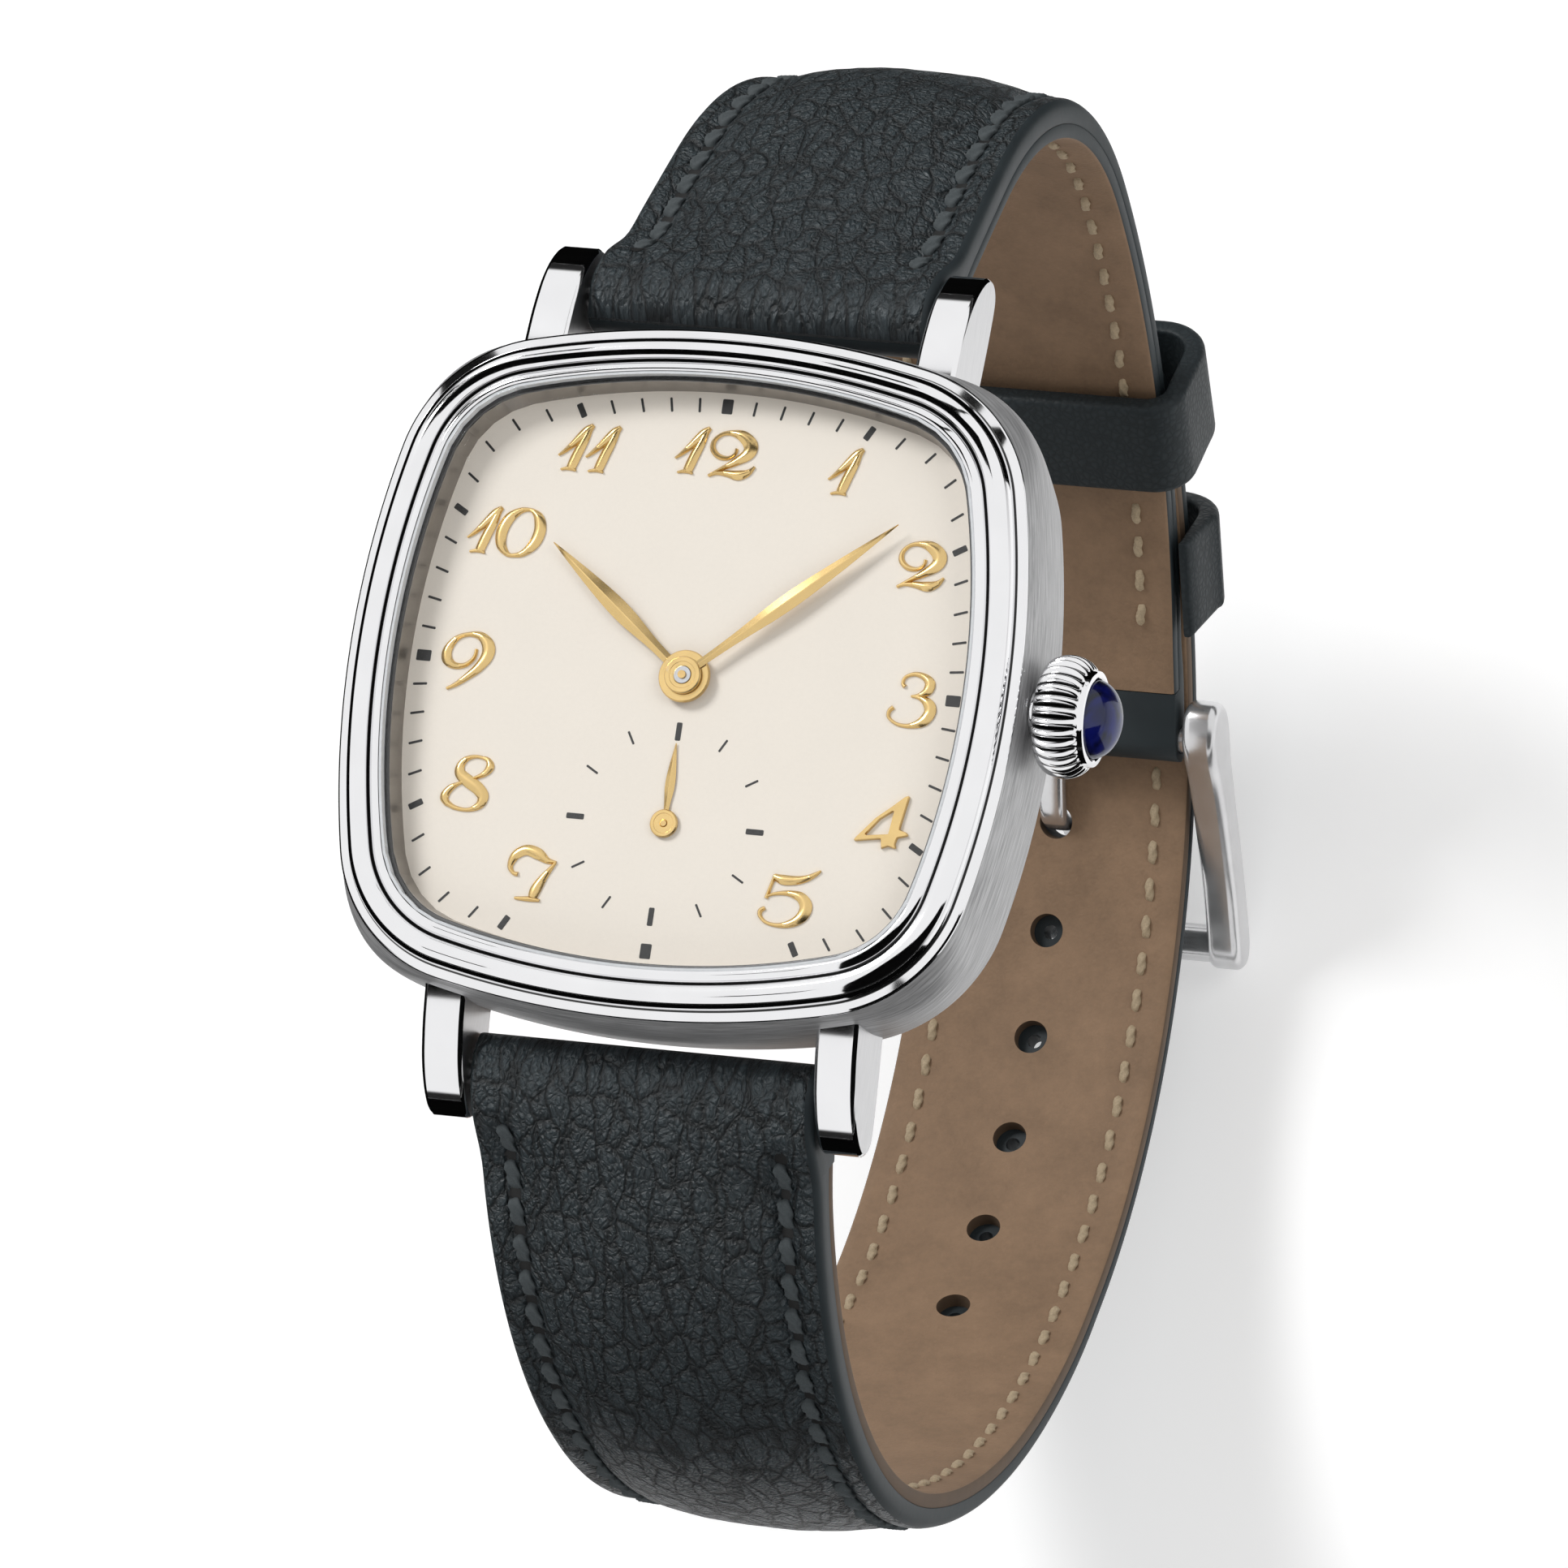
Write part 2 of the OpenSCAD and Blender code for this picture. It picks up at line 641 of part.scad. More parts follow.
module escape_wheel() {
    r = 1.6;
    color("silver") in_plan() {
        toothed(escape_at, 8, 0.09, plate_low - 0.55, 0.45, escape_angle);
        translate([escape_at[0], escape_at[1], plate_low - 0.8]) {
            difference() {
                linear_extrude(0.2) polygon([for (k = [0:14]) for (p = [[0, 1.12], [8, 1.6], [10.5, 1.6], [10, 1.15]])
                    p[1] * [cos(24 * k + p[0]), sin(24 * k + p[0])]]);
                translate([0, 0, -over]) cylinder(r = 0.95, h = 2);
            }
            for (q = [0:72:288])
                rotate(q) translate([0, -0.1, 0]) cube([1.05, 0.2, 0.2]);
            cylinder(r = 0.4, h = 0.2);
        }
        post(escape_at, 0.1, bridge_low + 0.25, 2.7);
        post(escape_at, 0.22, bridge_low + bridge_t + 0.05, 1.4);
    }
}

module pallet_fork() {
    z = plate_low - 0.65;
    color("silver") in_plan() translate([fork_at[0], fork_at[1], z]) rotate(20) {
        linear_extrude(0.15) polygon([[-0.25, -0.2], [-0.55, -1.1], [-0.3, -1.18], [0.1, -0.35], [1.25, -0.1], [1.5, -0.22],
            [1.5, -0.1], [1.3, 0], [1.5, 0.1], [1.5, 0.22], [1.25, 0.1], [0.1, 0.35], [-0.3, 1.18], [-0.55, 1.1], [-0.25, 0.2]]);
        translate([0, 0, bridge_low + 0.25 - z]) cylinder(r = 0.1, h = 2.6);
    }
}

module balance_wheel() {
    z = plate_low - 1.3;
    color("gold") in_plan() translate([balance_at[0], balance_at[1], z]) {
        difference() {
            cylinder(r = balance_r, h = 0.3);
            translate([0, 0, -over]) cylinder(r = balance_r - 0.35, h = 2);
        }
        for (q = [20:120:260])
            rotate(q) translate([0, -0.15, 0]) cube([balance_r - 0.2, 0.3, 0.2]);
        cylinder(r = 0.45, h = 0.3);
        // Roller with its impulse jewel
        translate([0, 0, 0.35]) cylinder(r = 0.5, h = 0.15);
        translate([0, 0, 0.35]) rotate(200) translate([0.42, 0, 0]) cylinder(r = 0.05, h = 0.42);
        cylinder(r = 0.18, h = 0.9);
        translate([0, 0, bridge_low + 0.25 - z]) cylinder(r = 0.1, h = 2.7);
    }
}

module hairspring() {
    color("steelblue") in_plan() translate([balance_at[0], balance_at[1], plate_low - 1.5]) {
        linear_extrude(0.1) polygon(spiral(0.35, 1.7, 8, 0.05, 192));
        difference() {
            cylinder(r = 0.36, h = 0.1);
            translate([0, 0, -over]) cylinder(r = 0.12, h = 2);
        }
    }
}

// Motion work, winding and setting

module cannon_pinion() {
    color("silver") in_plan() difference() {
        union() {
            toothed(centre_at, 12, 0.1, plate_top - 0.35, 0.3, 0);
            post(centre_at, 0.42, plate_top - 0.35, dial_top + 0.78 - plate_top + 0.35);
        }
        post(centre_at, 0.21, 0, 20);
    }
}

module minute_wheel() {
    color("gold") in_plan() {
        difference() {
            union() {
                toothed(minute_at, 36, 0.1, plate_top - 0.35, 0.2, minute_angle);
                toothed(minute_at, 10, 0.096, plate_top - 0.2, 0.55, minute_angle);
            }
            post(minute_at, 0.18, 0, 9);
        }
    }
}

module hour_wheel() {
    color("gold") in_plan() difference() {
        union() {
            toothed(centre_at, 40, 0.096, plate_top + 0.1, 0.2, hour_angle);
            post(centre_at, 0.75, plate_top + 0.1, dial_top + 0.5 - plate_top - 0.1);
        }
        post(centre_at, 0.46, 0, 20);
    }
}

module setting_wheel() {
    color("silver") in_plan() difference() {
        toothed(setting_at, 20, 0.1, plate_top - 0.35, 0.2, setting_angle);
        post(setting_at, 0.25, 0, 9);
    }
}

module winding_pinion() {
    // Teeth along the stem, and saw teeth towards the clutch
    color("silver") in_plan() translate([8.45, 0, stem_z]) rotate([0, 90, 0]) difference() {
        linear_extrude(0.85) polygon(tooth_outline(18, 0.1));
        translate([0, 0, -over]) cylinder(r = 0.3, h = 3);
    }
}

module sliding_clutch() {
    color("silver") in_plan() translate([6.75, 0, stem_z]) rotate([0, 90, 0]) difference() {
        union() {
            cylinder(r = 0.8, h = 0.45);
            cylinder(r = 0.5, h = 1.6);
            translate([0, 0, 1.15]) cylinder(r = 0.8, h = 0.45);
        }
        translate([-0.23, -0.23, -over]) cube([0.46, 0.46, 3]);
    }
}

module winding_stem() {
    color("silver") in_plan() difference() {
        union() {
            along_x(5.35, stem_z, 0.2, 1);
            // Square on which the clutch slides
            translate([6.3, -0.2, stem_z - 0.2]) cube([2.1, 0.4, 0.4]);
            along_x(8.38, stem_z, 0.28, 1.1);
            along_x(9.4, stem_z, 0.4, (crown_x + 1.55) / calibre - 9.4);
        }
        // Groove for the setting lever's pin
        difference() {
            along_x(10.15, stem_z, 0.8, 0.5);
            along_x(10, stem_z, 0.25, 1);
        }
    }
}

module setting_lever() {
    z = plate_top + 0.05;
    color("silver") in_plan() {
        link(lever_at, [10.4, 0], 0.7, z, 0.2);
        post(lever_at, 0.5, z, 0.2);
        post([10.4, 0], 0.35, z, 0.2);
        post([10.4, 0], 0.2, stem_z + 0.28, z - stem_z - 0.2);
    }
}

module yoke() {
    z = plate_top + 0.05;
    color("silver") in_plan() {
        link(yoke_at, yoke_at + [0, 3], 0.22, z, 0.15);
        post(yoke_at, 0.5, z, 0.15);
    }
}

// Hour numerals: italic figures of swelling strokes, drawn on a grid of 300 units with y down.
// The middle of the grid is the middle of the figure, and 190 units are one numeral's height.

// Points [x, y, width] of a stroke, with a smooth curve passed through them
function curve_part(a, b, c, d, k) =
    0.5 * (2 * b + (c - a) * k + (2 * a - 5 * b + 4 * c - d) * k * k + (3 * b - a - 3 * c + d) * k * k * k);
function through(p, steps = 5) =
    let (n = len(p) - 1)
    concat([for (i = [0:n - 1]) for (j = [0:steps - 1])
        curve_part(p[max(0, i - 1)], p[i], p[i + 1], p[min(n, i + 2)], j / steps)], [p[n]]);
function flat_normal(a, b) = let (d = b - a) [-d[1], d[0]] / max(0.001, norm([d[0], d[1]]));
function stroke_side(q, side) =
    [for (i = [0:len(q) - 1])
        let (n = flat_normal(q[max(0, i - 1)], q[min(len(q) - 1, i + 1)]))
        [q[i][0], q[i][1]] + side * q[i][2] / 2 * n];

module stroke(p) {
    q = through(p);
    right = stroke_side(q, -1);
    n = len(right) - 1;
    polygon(concat(stroke_side(q, 1), [for (i = [n:-1:0]) right[i]]));
}

module figure_1() {
    polygon([[200, 48], [206, 56], [160, 212], [164, 226], [160, 231], [132, 224], [104, 231], [100, 225],
        [112, 212], [148, 122], [128, 136], [92, 174], [86, 176], [84, 170], [118, 136], [150, 106], [190, 54]]);
}

module figure_2() {
    stroke([[157, 130, 12], [152, 152, 12], [126, 168, 15], [90, 163, 20], [65, 138, 20], [66, 106, 16],
        [92, 80, 14], [130, 72, 20], [175, 82, 40], [208, 112, 50], [204, 146, 44], [158, 182, 26],
        [105, 212, 14], [62, 240, 10]]);
    stroke([[64, 238, 12], [92, 227, 14], [132, 226, 22], [178, 230, 34], [212, 218, 24], [230, 200, 12], [236, 192, 8]]);
}

module figure_3() {
    stroke([[119, 104, 16], [108, 92, 12], [116, 68, 12], [150, 54, 15], [188, 62, 24], [212, 84, 36],
        [208, 112, 34], [180, 132, 18], [148, 138, 8]]);
    stroke([[148, 137, 8], [184, 142, 18], [218, 162, 38], [228, 192, 42], [206, 228, 36], [160, 248, 18],
        [110, 246, 12], [74, 224, 12], [72, 200, 15], [86, 184, 16]]);
}

module figure_4() {
    difference() {
        polygon([[214, 38], [222, 36], [228, 42], [207, 172], [230, 170], [242, 178], [240, 188], [204, 198],
            [198, 226], [205, 234], [198, 238], [172, 232], [146, 242], [142, 236], [155, 225], [162, 203],
            [42, 222], [36, 216], [110, 128], [165, 82]]);
        polygon([[176, 98], [128, 134], [80, 196], [166, 185]]);
    }
}

module figure_5() {
    stroke([[94, 74, 20], [130, 84, 34], [180, 82, 30], [222, 70, 22], [254, 50, 14], [269, 38, 6]]);
    stroke([[98, 68, 14], [86, 110, 12], [75, 158, 14]]);
    stroke([[76, 150, 8], [110, 137, 12], [160, 132, 20], [208, 144, 36], [232, 176, 44], [222, 214, 40],
        [186, 242, 28], [138, 254, 16], [90, 248, 12], [62, 226, 14], [60, 206, 17], [76, 194, 14]]);
}

module figure_7() {
    stroke([[98, 161, 16], [78, 156, 14], [64, 132, 20], [78, 92, 32], [118, 68, 36], [165, 78, 40],
        [205, 100, 22], [240, 104, 10]]);
    polygon([[242, 104], [232, 118], [205, 162], [192, 212], [190, 240], [198, 250], [190, 256], [150, 249],
        [105, 259], [98, 252], [106, 244], [152, 212], [182, 165], [206, 116], [220, 104]]);
}

module figure_8() {
    stroke([[206, 54, 12], [170, 48, 12], [134, 58, 18], [112, 84, 28], [114, 116, 38], [148, 142, 44],
        [190, 166, 44], [216, 196, 40], [206, 230, 28], [165, 250, 14], [112, 246, 16], [76, 228, 22]]);
    stroke([[84, 238, 18], [66, 210, 30], [84, 176, 24], [120, 152, 12], [165, 132, 10], [206, 112, 20],
        [226, 84, 30], [216, 60, 20], [196, 50, 12]]);
}

module figure_9() {
    stroke([[172, 108, 12], [166, 142, 14], [136, 171, 17], [96, 176, 24], [64, 156, 36], [60, 118, 32],
        [88, 74, 20], [134, 54, 16], [182, 58, 30], [214, 88, 44], [218, 128, 44], [192, 174, 34],
        [150, 215, 24], [112, 246, 16], [78, 265, 10]]);
}

module figure_0() {
    stroke([[232, 57, 10], [190, 62, 20], [148, 94, 36], [125, 148, 40], [130, 200, 34], [160, 232, 18], [188, 235, 12]]);
    stroke([[172, 236, 12], [216, 226, 22], [256, 186, 38], [272, 135, 42], [262, 88, 36], [236, 63, 18], [216, 57, 10]]);
}

// One hour at its place on the dial, with a shift for each of its figures
module hour(x, y) {
    unit = numeral_size / 190;
    in_plan() translate([x, y, dial_top]) scale(unit) rotate([180, 0, 0])
        translate([-150, -150, -numeral_h / unit]) linear_extrude(numeral_h / unit) children();
}

// Six is left out, because the small seconds dial takes its place
module hour_numerals() {
    color("goldenrod") {
        hour(-0.15, 11.3) {
            translate([-95, 12]) figure_1();
            translate([65, 3]) figure_2();
        }
        hour(6.53, 10.7) figure_1();
        hour(11.08, 6.55) figure_2();
        hour(11.49, -0.1) figure_3();
        hour(11.13, -6.32) figure_4();
        hour(6.67, -10.34) figure_5();
        hour(-6.37, -10.25) figure_7();
        hour(-10.3, -6.13) figure_8();
        hour(-11.2, -0.04) figure_9();
        hour(-10.21, 6.44) {
            translate([-90, 7]) figure_1();
            figure_0();
        }
        hour(-6.53, 10.88) {
            translate([-64, 5]) figure_1();
            translate([43, 4]) figure_1();
        }
    }
}

// Hands

// Leaf blade with a pointed tip, as one outline along +Y
function leaf(len, w, neck) =
    let (rows = [[0, neck], [0.1, neck], [0.25, 0.62 * w], [0.42, 0.95 * w], [0.55, 0.98 * w], [0.72, 0.72 * w],
        [0.88, 0.36 * w], [1, 0.06]])
    concat([for (r = rows) [r[1] / 2, r[0] * len]], [for (i = [len(rows) - 1:-1:0]) [-rows[i][1] / 2, rows[i][0] * len]]);

module hand(at, angle, len, w, neck, hub, bore, z, t) {
    translate([at[0], at[1], z]) rotate(angle) difference() {
        union() {
            linear_extrude(t) polygon(leaf(len, w, neck));
            cylinder(r = hub, h = t + 0.06);
        }
        translate([0, 0, -over]) cylinder(r = bore, h = 2);
    }
}

module hour_hand() {
    color("gold") in_plan() hand(centre_at, 51.7, hour_len, 1.1 * leaf_w, 0.5, 1.3, 0.76, dial_top + 0.32, 0.14);
}

module minute_hand() {
    color("gold") in_plan() hand(centre_at, -49.5, minute_len, leaf_w, 0.4, 0.93, 0.43, dial_top + 0.6, 0.12);
}

module seconds_hand() {
    color("gold") in_plan() hand(seconds_at, 0, seconds_len, 0.5, 0.22, 0.7, 0.16, dial_top + 0.08, 0.1);
}

// Crown

module crown() {
    color("silver") translate([crown_x, 0, stem_z]) rotate([0, 90, 0]) difference() {
        union() {
            linear_extrude(crown_len) polygon([for (k = [0:crown_flutes - 1])
                for (p = [[-0.3, -0.22], [-0.18, 0], [0.18, 0], [0.3, -0.22]])
                    (crown_r + p[1]) * [cos(360 * (k + p[0]) / crown_flutes), sin(360 * (k + p[0]) / crown_flutes)]]);
            translate([0, 0, crown_len]) cylinder(r1 = 2.5, r2 = 2.3, h = 0.3);
        }
        // Skirt bore over the crown tube, hole for the stem and seat of the cabochon
        translate([0, 0, -over]) cylinder(r = 1.4, h = over + 0.9);
        translate([0, 0, -over]) cylinder(r = 0.41, h = over + 1.55);
        translate([0, 0, crown_len - 0.25]) cylinder(r = cabochon_r + 0.02, h = 2);
    }
}

module crown_cabochon() {
    r = cabochon_r;
    color("navy") translate([crown_x + crown_len - 0.25, 0, stem_z]) rotate([0, 90, 0]) {
        cylinder(r = r, h = 0.35);
        translate([0, 0, 0.35]) intersection() {
            scale_dome(r);
            cylinder(r = r, h = r);
        }
    }
}

module scale_dome(r) {
    rotate_extrude() polygon(concat([[0, 0]], [for (a = [0:9:90]) [r * cos(a), 0.72 * r * sin(a)]]));
}

// Strap: a path of tangent arcs in the plane of the hand axis, seen from the crown side.
// Each arc is [length, turn]. A heading of 0 points away from the case and 90 straight down.

short_arcs = [[12, 3], [24, 71], [36, 38]];
short_heading = 38;
long_heading = 25;
overlap_gap = 0.3;

// The long side bends in three arcs, then lies on the outside of the short side's last arc, which
// it reaches join_turn degrees before it passes the buckle's pin.
bend_1 = [36, 75];
bend_2_r = 44;
join_turn = 2.459;

function across(h) = [sin(h), cos(h)];
function forward(h) = [cos(h), -sin(h)];
// Place and heading at distance s along arcs, from point p and heading h
function walk(arcs, p, h, s, i = 0) =
    let (len = arcs[i][0], turn = arcs[i][1], r = len / turn * 180 / PI, c = p - r * across(h))
    s < 0 ? [p + s * forward(h), h] :
    s <= len || i == len(arcs) - 1 ? [c + r * across(h + turn * s / len), h + turn * s / len] :
    walk(arcs, c + r * across(h + turn), h + turn, s - len, i + 1);
function short_at(s) = walk(short_arcs, [bar_y, bar_z], short_heading, s);

function heading_of(v) = let (h = atan2(v[0], v[1])) h < 0 ? h + 360 : h;
last_arc = short_arcs[2];
last_r = last_arc[0] / last_arc[1] * 180 / PI;
pin_place = short_at(short_len);
last_c = pin_place[0] - last_r * across(pin_place[1]);
outer_c = [-last_c[0], last_c[1]];
outer_r = last_r + strap_thin + overlap_gap;
bend_1_r = bend_1[0] / bend_1[1] * 180 / PI;
bend_1_end = [bar_y, bar_z] - bend_1_r * across(long_heading)
    + bend_1_r * across(long_heading + bend_1[1]);
bend_2_c = bend_1_end - bend_2_r * across(long_heading + bend_1[1]);
// The third bend touches the second one and, at the join, the outer circle
join_heading = 360 - pin_place[1] + join_turn;
join_out = across(join_heading);
reach = outer_c - bend_2_c + outer_r * join_out;
bend_3_r = (reach * reach - bend_2_r * bend_2_r) / (2 * (reach * join_out - bend_2_r));
bend_3_c = outer_c + (outer_r - bend_3_r) * join_out;
bend_2_turn = heading_of(bend_3_c - bend_2_c) - long_heading - bend_1[1];
bend_3_turn = join_heading - heading_of(bend_3_c - bend_2_c);
function arc_of(r, turn) = [r * turn * PI / 180, turn];
long_arcs = [bend_1, arc_of(bend_2_r, bend_2_turn), arc_of(bend_3_r, bend_3_turn), arc_of(outer_r, 60)];
// Distance along the long side at which it passes the buckle's pin
pin_pass = bend_1[0] + long_arcs[1][0] + long_arcs[2][0] - outer_r * join_turn * PI / 180;
free_keeper_s = short_len - free_keeper_gap;
fixed_keeper_s = short_len - fixed_keeper_gap;
long_len = pin_pass + overlap_len;
tongue_hole = pin_pass - tongue_reach;
function long_at(s) = walk(long_arcs, [bar_y, bar_z], long_heading, s);

// Draws its children at a place of the path: y runs along the strap and z out of it
module at_station(place) {
    translate([0, place[0][0], place[0][1]]) rotate([-place[1], 0, 0]) children();
}

function mix(a, b, k) = a + (b - a) * min(1, max(0, k));
function smooth(k) = let (c = min(1, max(0, k))) c * c * (3 - 2 * c);
function width_at(s) = mix(strap_w, strap_end_w, (s - 3) / (short_len - 8));
// Thickness in the middle, padded up to about 60 mm, and at the sewn edges
function middle_t(s) = mix(strap_t, strap_thin, smooth((s - 8) / 52));
function edge_t(s) = mix(strap_t - 0.9, strap_thin - 0.25, smooth((s - 4) / 40));
// Height of the padded crown over the width: flat in the middle, falling to a groove at the stitches
function crown_at(f) = let (a = abs(f)) a > 0.8 ? 0 : smooth((0.8 - a) / 0.5);

// Ring of one upper leather at a station: outer face from edge to edge, then the flat underside
across_steps = [-1, -0.985, -0.94, -0.8, -0.62, -0.42, -0.2, 0, 0.2, 0.42, 0.62, 0.8, 0.94, 0.985, 1];
function upper_ring(place, w, mid, edge, low, low2) =
    let (c = place[0], n = across(place[1]))
    let (top = [for (f = across_steps)
        let (a = abs(f), drop = a > 0.99 ? 0.55 : a > 0.98 ? 0.3 : a > 0.9 ? 0.08 : a > 0.7 ? 0.1 : 0)
        [f * w / 2, low + edge + (mid - edge) * crown_at(f) - drop * min(1, edge / 1.9)]])
    let (points = concat(top, [[w / 2, low2], [-w / 2, low2]]))
    [for (p = points) [p[0], c[0] + p[1] * n[0], c[1] + p[1] * n[1]]];
function sheet_ring(place, w, low, high) =
    let (c = place[0], n = across(place[1]))
    [for (p = [[-w / 2, high], [w / 2, high], [w / 2, low], [-w / 2, low]])
        [p[0], c[0] + p[1] * n[0], c[1] + p[1] * n[1]]];

// Radius of the leather's fold round a bar, and the half thickness left at distance s past the bar
fold_r = strap_t / 2 + 0.05;
buckle_fold_r = strap_thin / 2 + 0.15;
function fold_half(r, s) = sqrt(max(0.0004, r * r - s * s));
// Half thickness of the strap's middle at s, with the folds at both ends
function short_half(s) =
    s < 0 ? fold_half(fold_r, s) :
    s > short_len ? fold_half(buckle_fold_r, s - short_len) :
    max(middle_t(s) / 2, mix(0, buckle_fold_r, (s - short_len + 6) / 6));
// Half width at the long side's tip, which is pointed with round shoulders
function tip_w(s) = let (k = max(0, 1 - (long_len - s) / 10)) width_at(s) * sqrt(max(0.02, 1 - pow(k, 2.4)));

lining_from = 3.5;
short_lining_to = short_len - 5;
fold_steps = [-1, -0.9, -0.7, -0.4];
short_steps = concat([for (k = fold_steps) k * fold_r], [0, 1.6], [lining_from, lining_from + 0.05],
    [for (s = [6:3:short_lining_to - 1]) s], [short_lining_to, short_lining_to + 0.05], [short_len - 2, short_len],
    [for (k = [3:-1:0]) short_len - fold_steps[k] * buckle_fold_r]);
long_steps = concat([for (k = fold_steps) k * fold_r], [0, 1.6], [lining_from, lining_from + 0.05],
    [for (s = [6:3:long_len - 9]) s], [for (k = [7, 5, 3.4, 2, 1, 0.4, 0]) long_len - k]);

// Underside of the upper leather: the whole thickness at the folds, and over the lining between them
function short_low(s) =
    s <= lining_from || s >= short_lining_to + 0.05 ? -short_half(s) : -short_half(s) + lining_t;
function long_half(s) = s < 0 ? fold_half(fold_r, s) : middle_t(s) / 2;
function long_low(s) = s <= lining_from ? -long_half(s) : -long_half(s) + lining_t;

function edge_drop(s, half, len) = s < 0 || s > len ? half * 2 : min(half * 2, edge_t(s));

module strap_12() {
    color("darkslategray") difference() {
        stack([for (s = short_steps) let (h = short_half(s))
            upper_ring(short_at(s), width_at(s), 2 * h, edge_drop(s, h, short_len - 3), -h, short_low(s))]);
        at_station(short_at(0)) along_x(-15, 0, bar_r + fit, 30);
        at_station(short_at(short_len)) along_x(-15, 0, pin_r + fit, 30);
        // Slot that the tongue turns in
        at_station(short_at(short_len)) translate([-1.2, -2.4, -5]) cube([2.4, 8, 10]);
    }
}

module strap_12_lining() {
    color("tan") stack([for (s = short_steps) if (s > lining_from && s <= short_lining_to)
        let (h = short_half(s)) sheet_ring(short_at(s), width_at(s), -h, -h + lining_t)]);
}

module punched() {
    for (k = [-1:5])
        at_station(long_at(tongue_hole - k * hole_pitch)) translate([0, 0, -5])
            cylinder(r = hole_r, h = 10);
}

module strap_6() {
    color("darkslategray") mirror([0, 1, 0]) difference() {
        stack([for (s = long_steps) let (h = long_half(s))
            upper_ring(long_at(s), tip_w(s), 2 * h, edge_drop(s, h, 200), -h, long_low(s))]);
        at_station(long_at(0)) along_x(-15, 0, bar_r + fit, 30);
        punched();
    }
}

module strap_6_lining() {
    color("tan") mirror([0, 1, 0]) difference() {
        stack([for (s = long_steps) if (s > lining_from)
            let (h = long_half(s)) sheet_ring(long_at(s), tip_w(s), -h, -h + lining_t)]);
        punched();
    }
}

// Spring bars

module spring_bars() {
    color("silver") for (side = [-1, 1])
        difference() {
            along_x(-lug_gap / 2 + 0.35, bar_z, bar_r, lug_gap - 0.7, side * bar_y);
            for (x = [-1, 1])
                along_x(x > 0 ? lug_gap / 2 - 3.4 : -lug_gap / 2 + 0.3, bar_z, tip_r + fit, 3.1, side * bar_y);
        }
}

module spring_bar_tip(x, y) {
    len = 2.2 + tip_reach;
    color("silver") along_x(x > 0 ? lug_gap / 2 - 2.2 : -lug_gap / 2 - tip_reach, bar_z, tip_r, len, y);
}

module spring_bar_tip_12_left() {
    spring_bar_tip(-1, bar_y);
}

module spring_bar_tip_12_right() {
    spring_bar_tip(1, bar_y);
}

module spring_bar_tip_6_left() {
    spring_bar_tip(-1, -bar_y);
}

module spring_bar_tip_6_right() {
    spring_bar_tip(1, -bar_y);
}

// Keepers: bands of leather round both layers of the strap

keeper_low = -strap_thin / 2 - 0.4;
keeper_high = strap_thin * 1.5 + overlap_gap + 0.75;

// Rounded rectangle of half width w from height a to b
function round_box(w, a, b, r) =
    [for (c = [[w - r, b - r, 0], [-w + r, b - r, 90], [-w + r, a + r, 180], [w - r, a + r, 270]])
        for (q = [0:15:90]) [c[0] + r * cos(c[2] + q), c[1] + r * sin(c[2] + q)]];

// Band of leather across the strap at distance s, with eased edges. Its bottom is at low, and the
// room that its child draws is cut through it.
module keeper(s, low) {
    w = width_at(s) / 2 + 0.45 + keeper_t;
    rows = [[0, -0.18], [0.2, 0], [keeper_len - 0.2, 0], [keeper_len, -0.18]];
    at_station(short_at(s)) translate([0, -keeper_len / 2, 0]) difference() {
        stack([for (row = rows)
            let (p = round_box(w + row[1], low - row[1], keeper_high + keeper_t + row[1], 1.5))
            [for (i = [len(p) - 1:-1:0]) [p[i][0], row[0], p[i][1]]]]);
        translate([0, -over, 0]) rotate([-90, 0, 0]) linear_extrude(keeper_len + 2 * over)
            mirror([0, 1]) children();
    }
}

module free_keeper() {
    color("darkslategray") keeper(free_keeper_s, keeper_low - keeper_t)
        polygon(round_box(width_at(free_keeper_s) / 2 + 0.45, keeper_low, keeper_high, 0.5));
}

module fixed_keeper() {
    w = width_at(fixed_keeper_s - keeper_len / 2) / 2 + fit;
    color("darkslategray") keeper(fixed_keeper_s, -1.5) {
        union() {
            // Room for the long side, and below it the slot that the short side is sewn into
            polygon(round_box(width_at(fixed_keeper_s) / 2 + 0.45, strap_thin / 2 - 0.3, keeper_high, 0.4));
            translate([-w, -5]) square([2 * w, 5 + strap_thin / 2]);
        }
    }
}

// Buckle, drawn on its pin at the end of the short side: y runs towards the outer bar

frame_in = strap_end_w / 2 + 0.5;
frame_w = 1.5;
frame_rise = 4;
module on_buckle() {
    at_station(short_at(short_len)) children();
}

module buckle_frame() {
    // Side view of an arm: round eye on the pin, waist, and a foot that holds the outer bar
    arm = [for (p = [[-1.25, -0.2], [-0.9, -0.95], [0, -1.25], [1, -1], [4, 0.15], [9, 1.75], [11.6, 2.4],
        [12.9, 2.75], [13.7, 3.3], [13.95, 4.1], [13.6, 4.9], [12.8, 5.2], [11.4, 5], [8, 4.1], [3.5, 2.4],
        [1, 1.35], [0, 1.25], [-0.9, 0.8]]) [p[0] * buckle_len / 13, p[1]]];
    color("silver") on_buckle() difference() {
        union() {
            for (x = [frame_in, -frame_in - frame_w])
                translate([x, 0, 0]) rotate([90, 0, 90]) linear_extrude(frame_w) polygon(arm);
            along_x(-frame_in - 0.2, frame_rise, 1, 2 * frame_in + 0.4, buckle_len - 0.35);
        }
        along_x(-15, 0, pin_r + 0.03, 30);
        // Seat worn into the outer bar for the tongue
        along_x(-0.9, frame_rise + 1.15, 0.5, 1.8, buckle_len - 0.35);
    }
}

